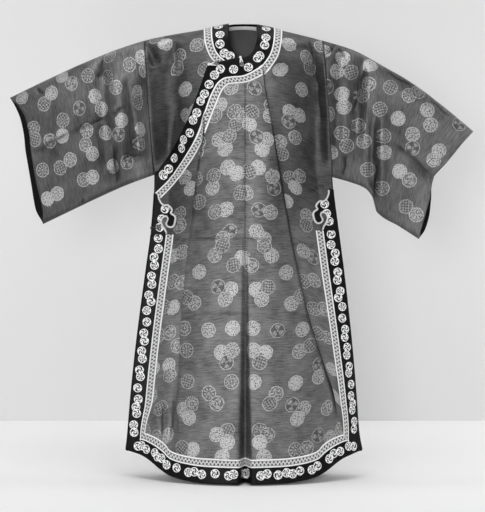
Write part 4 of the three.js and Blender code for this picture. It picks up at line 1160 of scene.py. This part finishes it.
def laid_strip(rows, count, across, face, lift, wrap=False, behind=None):
    """A strip laid on the cloth between two lines: rows of x, down on one and x, down on the other."""
    line = smooth_rows(rows, count)
    t = np.linspace(0, 1, across + 1)[None, :]
    x = mix(line[:, 0:1], line[:, 2:3], t)
    z = -mix(line[:, 1:2], line[:, 3:4], t)
    points = cloth_points(x, z, face)
    out = outward(points)
    out *= -1 if np.mean(out[..., 1] * np.sign(points[..., 1])) < 0 else 1
    if behind is not None:
        points = points + out * behind(points)[..., None]
    lift = np.broadcast_to(np.asarray(lift, float), (across + 1,))
    laid = points + out * lift[None, :, None]
    measure = np.stack([
        np.broadcast_to(np.linspace(0, 1, count + 1)[:, None], x.shape),
        np.broadcast_to(t, x.shape),
    ], -1).copy()
    edge_length = np.linalg.norm(np.diff(points[:, across // 2], axis=0), axis=-1)
    measure[..., 0] = np.concatenate([[0], np.cumsum(edge_length)])[:, None]
    width = np.linalg.norm(np.diff(points, axis=1), axis=-1)
    measure[..., 1] = np.concatenate([np.zeros((count + 1, 1)), np.cumsum(width, 1)], 1)
    if wrap:
        edge = points[:, :1]
        past = points[:, :1] - points[:, 1:2]
        past /= np.linalg.norm(past, axis=-1, keepdims=True)
        normal = out[:, :1]
        turn = [
            edge - past * 9 - normal * 1.5, edge - normal * 1.3, edge + past * 0.9 - normal * 0.7,
            edge + past * 1.1 + normal * 0.5,
        ]
        laid = np.concatenate(turn + [laid], 1)
        behind_edge = np.stack(np.broadcast_arrays(measure[:, :1, 0], np.array([[-12.0, -3, -2, -1]])), -1)
        measure = np.concatenate([behind_edge, measure], 1)
    return laid, measure


def satin_motif(wire, layer, wobble):
    """A small white roundel with dark lines that curl out from its middle."""
    place = wire.node("ShaderNodeAttribute", dict(attribute_name=layer), out=1)
    split = wire.node("ShaderNodeSeparateXYZ", None, Vector=place)
    u = split + wobble * 0.2
    v = Wire(wire.tree, split.socket.node.outputs[1]) - wobble * 0.2
    kind = Wire(wire.tree, split.socket.node.outputs[2])
    r = wire.math("SQRT", u * u + v * v)
    angle = wire.math("ARCTAN2", v, u)
    inside = 1 - r.between(0.94, 1.0)
    arms = wire.math("MODULO", kind, 3.0) + 1
    curl = wire.math("SINE", angle * arms + r * 3.4 + kind)
    lines = wire.math("ABSOLUTE", curl).between(0.4, 0.68)
    spots = wire.math("SINE", angle * 5.0 + kind * 2.0) * wire.math("SINE", r * 11.0)
    inner = lines * spots.between(-0.75, -0.2)
    return inside, wire.math("MAXIMUM", inner, r.between(0.76, 0.84))


def satin_material():
    material, wire, shader = new_material("satin", 0.42, specular=0.12)
    cloth, weave = weave_height(wire, 0.0007)
    cloudy = wire.node("ShaderNodeTexNoise", None, Vector=cloth, Scale=20.0, Detail=3.0)
    thread = wire.node("ShaderNodeTexNoise", None, Vector=cloth, Scale=420.0, Detail=2.0)
    wobble = wire.node("ShaderNodeTexNoise", None, Vector=cloth, Scale=190.0, Detail=1.0) - 0.5
    colour = cloudy.mixed(0.002, 0.006)
    relief = weave * 0.12
    for layer in ("disc_below", "disc_top"):
        inside, pale = satin_motif(wire, layer, wobble)
        shade = (pale + (thread - 0.5) * 0.5).between(0.15, 0.9)
        colour = inside.mixed(colour, shade.mixed(0.008, SATIN_PALE))
        relief = relief + inside * pale * 0.4
    colour_to(colour, shader)
    bump_to(relief, shader, 0.3, 0.0005)
    return material


def seen_width(side, down, inset):
    return (BORDER_WIDTH + inset) * np.cos(np.radians(body[f"turn_{side}"](down)))


# The border's inner corner, in from the outer corner and down.
CORNER = dict(inward=44, down=1229, side_step=(15, -12), hem_out=0.76)


def border_rows(inset):
    """The border's outer edge and a line `inset` beyond its inner edge, side, hem and side."""
    rows = []
    for side, sign in (("left", -1), ("right", 1)):
        part = []
        half = body[side](HEM_CORNER)
        more = inset / RIBBON_WIDTH
        corner_x = half - CORNER["inward"] - CORNER["side_step"][0] * more
        corner_down = CORNER["down"] + CORNER["side_step"][1] * more
        top = CLOUD_TIP[side] + CLOUD_FOOT
        for share in np.linspace(0, 1, 24):
            down = mix(top, HEM_CORNER, share)
            inner_down = mix(top, corner_down, share)
            straight = body[side](inner_down) - seen_width(side, inner_down, inset)
            inner_x = mix(straight, corner_x, ease((share - 0.8) / 0.2))
            part.append((sign * body[side](down), down, sign * inner_x, inner_down))
        for out in (0.97, 0.92, 0.87, 0.82, 0.76, 0.7, 0.63, 0.55, 0.46, 0.36, 0.24, 0.12, 0.0):
            slope = hem_down(out - 0.03) - hem_down(out + 0.03)
            steep = math.hypot(1, slope / (0.06 * half))
            inner = out * half - (BORDER_WIDTH + inset) * (steep - 1 / steep) * 0.55
            width = (BORDER_WIDTH + inset) * (steep + 1 / steep) / 2
            near = ease((out - CORNER["hem_out"]) / (1 - CORNER["hem_out"]))
            inner_x = mix(inner, corner_x, near)
            inner_down = mix(hem_down(out) - width, corner_down, near)
            part.append((sign * out * half, hem_down(out), sign * inner_x, inner_down))
        rows += part if side == "left" else part[-2::-1]
    return rows


satin = satin_material()


def cloud_line(side):
    sign = -1 if side == "left" else 1
    tip = CLOUD_TIP[side]
    line = smooth_rows([(row["inward"], row["down"]) for row in CLOUD_EDGE], 120)
    half = body[side](tip + line[:, 1])
    return np.stack([sign * (half - line[:, 0]), tip + line[:, 1]], 1)


# The edge of the cloud head at the top of each slit: in from the side seam and down from its tip. It runs
# over two lobes, curls in round a hook of the tapestry and comes back out to the border.
CLOUD_EDGE = table(
    "inward down",
    (13, -14), (14, -5), (16, 5), (23, 18), (33, 26), (45, 26), (55, 34), (59, 42), (56, 50), (65, 56),
    (71, 63), (71, 75), (68, 87), (61, 92), (51, 90), (44, 82), (47, 72), (48, 65), (42, 59), (35, 60),
    (29, 67), (28, 77), (34, 90), (43, 102), (47, 110), (46, 114),
)


def cut_and_laid(name, outline, face, lift, discs, radius, materials, thick=0.9, cell=4.0):
    """A piece cut flat to an outline, scored into small cells and laid on the cloth."""
    flat = bmesh.new()
    corners = [flat.verts.new((x, -down, 0)) for x, down in outline]
    flat.faces.new(corners)
    low = np.min(outline, 0)
    high = np.max(outline, 0)
    for axis in (0, 1):
        start, end = (low[0], high[0]) if axis == 0 else (-high[1], -low[1])
        for place in np.arange(start + cell, end, cell):
            at = (place, 0, 0) if axis == 0 else (0, place, 0)
            bmesh.ops.bisect_plane(
                flat, geom=flat.faces[:] + flat.edges[:] + flat.verts[:], plane_co=at,
                plane_no=(1, 0, 0) if axis == 0 else (0, 1, 0),
            )
    bmesh.ops.triangulate(flat, faces=[face_ for face_ in flat.faces if len(face_.verts) > 4])
    flat.verts.ensure_lookup_table()
    place = np.array([vertex.co for vertex in flat.verts])
    x, z = place[:, 0], place[:, 1]
    half = np.where(x < 0, body["left"](-z), body["right"](-z))
    past = np.clip(np.abs(x) - half, 0, 3)
    on_edge = np.sign(x) * np.minimum(np.abs(x), half)

    def at(dx, dz):
        return cloth_points(on_edge + dx, z + dz, face)

    across = at(0.5, 0) - at(-0.5, 0)
    down = at(0, -0.5) - at(0, 0.5)
    out = np.cross(across, down)
    out /= np.linalg.norm(out, axis=-1, keepdims=True)
    out *= np.where(out[:, 1] * (-1 if face == "front" else 1) < 0, -1, 1)[:, None]
    laid = at(0, 0) + out * (lift * (1 - 2 * past / 3))[:, None]
    laid[:, 0] += np.sign(x) * np.minimum(past, 1)
    for vertex, point in zip(flat.verts, laid):
        vertex.co = Vector(point) * MM
    flat.normal_update()
    toward = sum(face_.normal.y * face_.calc_area() for face_ in flat.faces)
    if (toward > 0) == (face == "front"):
        bmesh.ops.reverse_faces(flat, faces=flat.faces[:])
    cloth = flat.loops.layers.uv.new("cloth")
    top = flat.loops.layers.float_vector.new("disc_top")
    below = flat.loops.layers.float_vector.new("disc_below")
    for face_ in flat.faces:
        middle = np.mean([place[loop.vert.index, :2] for loop in face_.loops], 0)
        near = [
            d for d in discs
            if math.hypot(middle[0] - d["at"][0], middle[1] + d["at"][1]) < radius + cell
        ]
        for loop in face_.loops:
            spot = place[loop.vert.index]
            loop[cloth].uv = (spot[0] * MM, spot[1] * MM)
            for layer, disc in ((top, near[-1:]), (below, near[-2:-1])):
                value = (9.0, 9.0, 9.0)
                if disc:
                    u = (spot[0] - disc[0]["at"][0]) / radius
                    v = (spot[1] + disc[0]["at"][1]) / radius
                    value = (u, v, disc[0]["kind"])
                loop[layer] = value
    mesh = bpy.data.meshes.new(name)
    flat.to_mesh(mesh)
    flat.free()
    return thickened(name, mesh, materials, thick)


def cloud_outline(side):
    sign = -1 if side == "left" else 1
    line = cloud_line(side)
    tip = CLOUD_TIP[side]
    back_up = [
        (sign * (float(body[side](down)) + 3), down) for down in np.linspace(tip + CLOUD_FOOT, tip - 8, 32)
    ]
    return [tuple(point) for point in line] + back_up


CLOUD_ROUNDELS = dict(
    left=((-233, 537), (-243, 567), (-249, 592)),
    right=((244, 522), (250, 551), (258, 574)),
)
for face, points in (("front", front_points), ("back", back_points)):
    rows = border_rows(0)
    strip, measure = laid_strip(rows, 560, 10, face, SATIN_LIFT, wrap=True)
    total = measure[-1, 0, 0]
    discs = []
    for i, (along, offset) in enumerate(BORDER_CHART):
        for place in (along - CLOUD_FOOT, total - (along - CLOUD_FOOT)):
            row = int(np.argmin(np.abs(measure[:, 4, 0] - place)))
            column = int(np.argmin(np.abs(measure[row, :, 1] - BORDER_WIDTH / 2 - offset)))
            discs.append(disc_on(strip, row, column, i))
    for i, x in enumerate(HEM_CHART):
        row = int(np.argmin(np.abs(strip[:, 9, 0] - x) + (strip[:, 9, 2] > -1240) * 900))
        discs.append(disc_on(strip, row, 9 + i % 2, i))
    border = cloth_mesh(
        f"border_{face}_satin", strip, measure, discs, SATIN_ROUNDEL, [satin, lining], thick=0.9,
    )
    for side in ("left", "right"):
        cut_and_laid(
            f"cloud_{face}_{side}", cloud_outline(side), face, SATIN_LIFT,
            [dict(at=at, kind=(i * 3) % 7) for i, at in enumerate(CLOUD_ROUNDELS[side])], SATIN_ROUNDEL,
            [satin, lining],
        )
    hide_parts(f"border_{face}")

# Piping: a pale corded edge that outlines each cloud head.
PIPING = 5.2


def pale_material(name, low, high, roughness):
    material, wire, shader = new_material(name, roughness, sheen=0.2)
    cloth, weave = weave_height(wire, 0.0012)
    fine = wire.node("ShaderNodeTexNoise", None, Vector=cloth, Scale=400.0, Detail=2.0)
    colour_to(fine.mixed(low, high), shader)
    bump_to(weave + fine * 0.6, shader, 0.4, 0.0006)
    return material


piping_cord = pale_material("piping", 0.55, 0.85, 0.6)
for face in ("front", "back"):
    for side in ("left", "right"):
        line = cloud_line(side)
        run = np.gradient(line, axis=0)
        run /= np.linalg.norm(run, axis=1, keepdims=True)
        off = np.stack([run[:, 1], -run[:, 0]], 1) * PIPING / 2
        rows = np.concatenate([line - off, line + off], 1)[3:-1]
        strip, measure = laid_strip(rows, 150, 6, face, [1.0, 2.6, 3.3, 3.5, 3.3, 2.6, 1.0])
        piping = cloth_mesh(
            f"cloud_piping_{face}_{side}_cord", strip, measure, [], 1, [piping_cord], thick=0.6
        )
        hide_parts(f"cloud_piping_{face}_{side}")


# Ribbons: woven silk trim with two pale edges and two rows of dark dots, sewn over the inner edge of every
# satin border and band.
RIBBON = dict(edge=0.0042, dot=0.0029, pitch=0.0112, pale=0.9, ground=0.62, dark=0.008)


def ribbon_material():
    material, wire, shader = new_material("ribbon", 0.6, sheen=0.15)
    cloth, weave = weave_height(wire, 0.0009)
    split = wire.node("ShaderNodeSeparateXYZ", None, Vector=cloth)
    along = split
    across = Wire(wire.tree, split.socket.node.outputs[1])
    width = RIBBON_WIDTH * MM
    fine = wire.node("ShaderNodeTexNoise", None, Vector=cloth, Scale=500.0, Detail=2.0)
    from_edge = wire.math("MINIMUM", across, width - across)
    edge = 1 - from_edge.between(RIBBON["edge"] * 0.85, RIBBON["edge"])
    groove = from_edge.between(RIBBON["edge"], RIBBON["edge"] * 1.1) * (
        1 - from_edge.between(RIBBON["edge"] * 1.35, RIBBON["edge"] * 1.5)
    )
    dots = None
    for row, shift in ((0.36, 0.0), (0.64, 0.5)):
        cell = wire.math("FRACT", along / RIBBON["pitch"] + shift) - 0.5
        du = cell * RIBBON["pitch"]
        dv = across - width * row
        far = wire.math("SQRT", du * du + dv * dv)
        dot = 1 - far.between(RIBBON["dot"] * 0.8, RIBBON["dot"] * 1.15)
        dots = dot if dots is None else wire.math("MAXIMUM", dots, dot)
    tone = fine.mixed(RIBBON["ground"] * 0.7, RIBBON["ground"] * 1.25)
    tone = edge.mixed(tone, fine.mixed(RIBBON["pale"] * 0.8, RIBBON["pale"] * 1.15))
    tone = (groove * 0.75).mixed(tone, RIBBON["dark"])
    tone = (dots * 0.92).mixed(tone, RIBBON["dark"])
    colour_to(tone, shader)
    bump_to(weave * 0.4 + edge * 0.8 - dots * 0.6 + fine * 0.4, shader, 0.45, 0.0007)
    return material


ribbon_weave = ribbon_material()
RIBBON_LIFT = np.linspace(1.95, 1.1, 9)


def ribbon_strip(name, node, rows, count, face, behind=None):
    strip, measure = laid_strip(rows, count, 8, face, RIBBON_LIFT, behind=behind)
    measure[..., 1] *= RIBBON_WIDTH / measure[:, -1:, 1]
    ribbon = cloth_mesh(name, strip, measure, [], 1, [ribbon_weave], thick=0.7)
    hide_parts(node)


for face in ("front", "back"):
    inner = border_rows(-1.5)
    outer = border_rows(RIBBON_WIDTH - 1.5)
    rows = [(a[2], a[3], b[2], b[3]) for a, b in zip(inner, outer)]
    ribbon_strip(f"ribbon_{face}_weave", f"ribbon_{face}", rows, 520, face)

# Neck and overlap: a shaped satin band runs round the neck and on down the free edge of the overlap to the
# side, with a ribbon along its inner edge. The underlap and the back of the neck have bands of their own.
OVERLAP_CHART = (
    (-99, 175), (-115, 201), (-124, 221), (-135, 257), (-148, 277), (-159, 314), (-178, 334), (-183, 358),
    (-205, 385), (-224, 417), (-240, 434),
)
NECK_CHART = (
    (70, 3), (69, 32), (65, 57), (50, 88), (42, 97), (16, 123), (-28, 132), (-65, 130), (-83, 147),
)
UNDER_CHART = ((-73, -5), (-69, 23), (-68, 52), (-56, 81), (-38, 89))
UNDER_NECK = table(
    "edge_x edge_down band_x band_down ribbon_x ribbon_down",
    (-44, -16.5, -93, -6.5, -117, -0.5),
    (-44, 0, -93, 12, -116, 18),
    (-44, 24, -91, 38, -114, 44),
    (-41, 48, -85, 64, -106, 72),
    (-33, 68, -74, 84, -92, 98),
    (-20, 84, -57, 100, -70, 116),
    (-8, 94, -40, 114, -50, 132),
)
BACK_NECK = table(
    "edge_x edge_down band_x band_down ribbon_x ribbon_down",
    (-44, -16.5, -93, -6.5, -117, -0.5),
    (-42, -15.5, -82, 20, -100, 36),
    (-34, -17, -62, 36, -74, 56),
    (-22, -18.5, -40, 43, -46, 65),
    (0, -19.5, 0, 46, 0, 68),
    (22, -18.5, 40, 43, 46, 65),
    (34, -17, 62, 36, 74, 56),
    (42, -15.5, 82, 20, 100, 36),
    (44, -14.5, 93, -4.5, 117, 3),
)


def band_and_ribbon(label, ribbon_node, rows, count, face, chart, behind=None):
    edges = [(r["edge_x"], r["edge_down"], r["band_x"], r["band_down"]) for r in rows]
    strip, measure = laid_strip(edges, count, 12, face, SATIN_LIFT, wrap=True, behind=behind)
    discs = [disc_near(strip, x, down, i) for i, (x, down) in enumerate(chart)]
    band = cloth_mesh(f"{label}_satin", strip, measure, discs, SATIN_ROUNDEL, [satin, lining], thick=0.9)
    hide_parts(label)
    ribbon_rows = []
    for r in rows:
        run = np.array([r["ribbon_x"] - r["band_x"], r["ribbon_down"] - r["band_down"]])
        run = run * 1.5 / np.linalg.norm(run)
        ribbon_rows.append((r["band_x"] - run[0], r["band_down"] - run[1], r["ribbon_x"], r["ribbon_down"]))
    ribbon_strip(f"{label}_ribbon", ribbon_node, ribbon_rows, count, face, behind=behind)


band_and_ribbon(
    "neck_band_under", "neck_ribbon_under", UNDER_NECK, 110, "front", UNDER_CHART, underlap_lift
)
band_and_ribbon(
    "overlap_band", "overlap_ribbon", OVERLAP, 300, "front", NECK_CHART + OVERLAP_CHART
)
BACK_CHART = ((-68, 0), (-57, 22), (-30, 14), (-4, 12), (22, 14), (50, 20), (68, 0))
band_and_ribbon("neck_band_back", "neck_ribbon_back", BACK_NECK, 110, "back", BACK_CHART)

# Inside the neck: a plain silk facing across the back, and a pale tape sewn along its top edge.
NECK_TONE = dict(low=0.08, high=0.13)


def neck_silk_material():
    material, wire, shader = new_material("neck_silk", 0.6, sheen=0.1)
    cloth, weave = weave_height(wire, 0.0012)
    drawn = wire.node("ShaderNodeVectorMath", dict(operation="MULTIPLY"), i0=cloth, i1=(20.0, 420.0, 1.0))
    lines = wire.node("ShaderNodeTexNoise", None, Vector=drawn, Scale=1.0, Detail=3.0)
    colour_to(lines.mixed(NECK_TONE["low"], NECK_TONE["high"]), shader)
    bump_to(weave + lines, shader, 0.3, 0.0005)
    return material


neck_silk = neck_silk_material()
facing_rows = [(x, float(-top_line(x)) + 9, x * 1.05, 124) for x in np.linspace(-128, 128, 24)]
strip, measure = laid_strip(facing_rows, 60, 30, "back", -1.7)
neck_facing = cloth_mesh("neck_facing_silk", strip, measure[..., ::-1], [], 1, [neck_silk], thick=0.8)
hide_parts("neck_facing")
tape_cotton = pale_material("tape", 0.9, 1.0, 0.8)
back_edge = through(BACK_NECK, "edge_x", "edge_down")
tape_rows = [(x, float(back_edge(x)) + 3, x, float(back_edge(x)) + 12) for x in np.linspace(-43, 41, 12)]
strip, measure = laid_strip(tape_rows, 40, 4, "back", -2.6)
neck_tape = cloth_mesh("neck_tape_cotton", strip, measure, [], 1, [tape_cotton], thick=0.7)
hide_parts("neck_tape")

# Fastenings: three ball buttons of dark metal on shanks, each with a loop of silk cord whose two strands run
# from a knot to the button and round it. They are sewn to the overlap's band and to the left cloud head.
FASTENINGS = table(
    "name x down turn cord",
    ("neck", -5, 107, -78, "pale"),
    ("collar", -88, 114, 5, "pale"),
    ("side", -262, 592, 10, "dark"),
)
BALL = dict(radius=5.5, lift=11.2, out=11)
CORD = dict(radius=1.7, lift=4.7, reach=15.5, apart=3.2)


def ball_metal_material():
    material, wire, shader = new_material("ball_metal", 0.3, metallic=1.0)
    place = wire.node("ShaderNodeTexCoord", None, out=3)
    tarnish = wire.node("ShaderNodeTexNoise", None, Vector=place, Scale=260.0, Detail=4.0)
    colour_to(tarnish.between(0.35, 0.7).mixed(0.08, 0.3), shader)
    colour_to(tarnish.mixed(0.2, 0.5), shader, "Roughness")
    bump_to(tarnish, shader, 0.2, 0.0003)
    return material


def cord_material(name, low, high):
    material, wire, shader = new_material(name, 0.55, sheen=0.2)
    place = wire.node("ShaderNodeTexCoord", None, out=3)
    twist = wire.node("ShaderNodeTexWave", dict(bands_direction="DIAGONAL"), Vector=place, Scale=240.0)
    fine = wire.node("ShaderNodeTexNoise", None, Vector=place, Scale=1500.0, Detail=2.0)
    colour_to((twist * 0.6 + fine * 0.4).mixed(low, high), shader)
    bump_to(twist + fine * 0.3, shader, 0.5, 0.0005)
    return material


ball_metal = ball_metal_material()
CORDS = dict(pale=cord_material("pale_cord", 0.75, 1.0), dark=cord_material("dark_cord", 0.005, 0.015))


def fastening_frame(x, down, turn):
    """The place and the directions of a fastening: along its loop, across it and out of the cloth."""
    at, right, up = (
        cloth_points(np.array([x + dx]), np.array([dz - down]), "front")[0]
        for dx, dz in ((0.0, 0.0), (5.0, 0.0), (0.0, 5.0))
    )
    right = Vector(right - at).normalized()
    out = right.cross(Vector(up - at)).normalized()
    out = -out if out.y > 0 else out
    up = out.cross(right)
    up = -up if up.z < 0 else up
    angle = math.radians(turn)
    along = right * math.cos(angle) + up * math.sin(angle)
    across = up * math.cos(angle) - right * math.sin(angle)
    return Matrix((along, across, out)).transposed().to_4x4(), Vector(at)


def ball_button(name, turned, at):
    """A round ball drawn out at its foot into a narrow shank."""
    bpy.ops.object.select_all(action="DESELECT")
    bpy.ops.mesh.primitive_uv_sphere_add(segments=28, ring_count=18, radius=BALL["radius"] * MM)
    ball = bpy.context.object
    ball.name = name
    for face in ball.data.polygons:
        face.select = face.center.z < -0.94 * BALL["radius"] * MM
    bpy.ops.object.mode_set(mode="EDIT")
    for step in (0.8, 0.9, 0.9):
        bpy.ops.mesh.extrude_region_move(TRANSFORM_OT_translate=dict(value=(0, 0, -step * MM)))
    bpy.ops.object.mode_set(mode="OBJECT")
    bpy.ops.object.shade_smooth_by_angle(angle=math.radians(50))
    place = at + turned.to_3x3() @ Vector((BALL["out"], 0, BALL["lift"]))
    ball.data.transform(Matrix.Translation(place * MM) @ turned)
    ball.data.materials.clear()
    ball.data.materials.append(ball_metal)
    return ball


def cord_loop(name, turned, at, cord):
    """Two strands of cord from a knot of two turns to a bend round the button's shank."""
    reach, apart, lift = CORD["reach"], CORD["apart"], CORD["lift"]
    route = [(reach - 3, apart + 1.2, lift), (6, apart + 0.8, lift), (-1, apart - 0.6, lift), (-6, 1.7, lift)]
    for i in range(17):
        angle = i / 16 * 2 * math.tau + 0.6
        route.append((-reach + 3.2 + 2.1 * math.cos(angle), 2.1 * math.sin(angle), lift + 0.12 * i))
    route += [(-6, -1.7, lift), (-1, 0.6 - apart, lift), (6, -apart - 0.8, lift)]
    route.append((reach - 3, -apart - 1.2, lift))
    route.append((reach, 0, lift))
    curve = bpy.data.curves.new(name, "CURVE")
    curve.dimensions = "3D"
    curve.bevel_depth = CORD["radius"] * MM
    curve.bevel_resolution = 3
    spline = curve.splines.new("NURBS")
    spline.points.add(len(route) - 1)
    for point, local in zip(spline.points, route):
        point.co = (*((at + turned.to_3x3() @ Vector(local)) * MM), 1)
    spline.use_cyclic_u = True
    spline.order_u = 3
    loop = bpy.data.objects.new(name, curve)
    bpy.context.collection.objects.link(loop)
    bpy.ops.object.select_all(action="DESELECT")
    loop.select_set(True)
    bpy.context.view_layer.objects.active = loop
    bpy.ops.object.convert(target="MESH")
    loop.data.materials.append(CORDS[cord])
    return loop


for fastening in FASTENINGS:
    turned, at = fastening_frame(fastening["x"], fastening["down"], fastening["turn"])
    label = fastening["name"]
    loop = cord_loop(f"loop_{label}_cord", turned, at, fastening["cord"])
    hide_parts(f"loop_{label}")
    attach(loop, "root")
    ball = ball_button(f"button_{label}_ball", turned, at)
    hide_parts(f"button_{label}")
    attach(ball, "root")
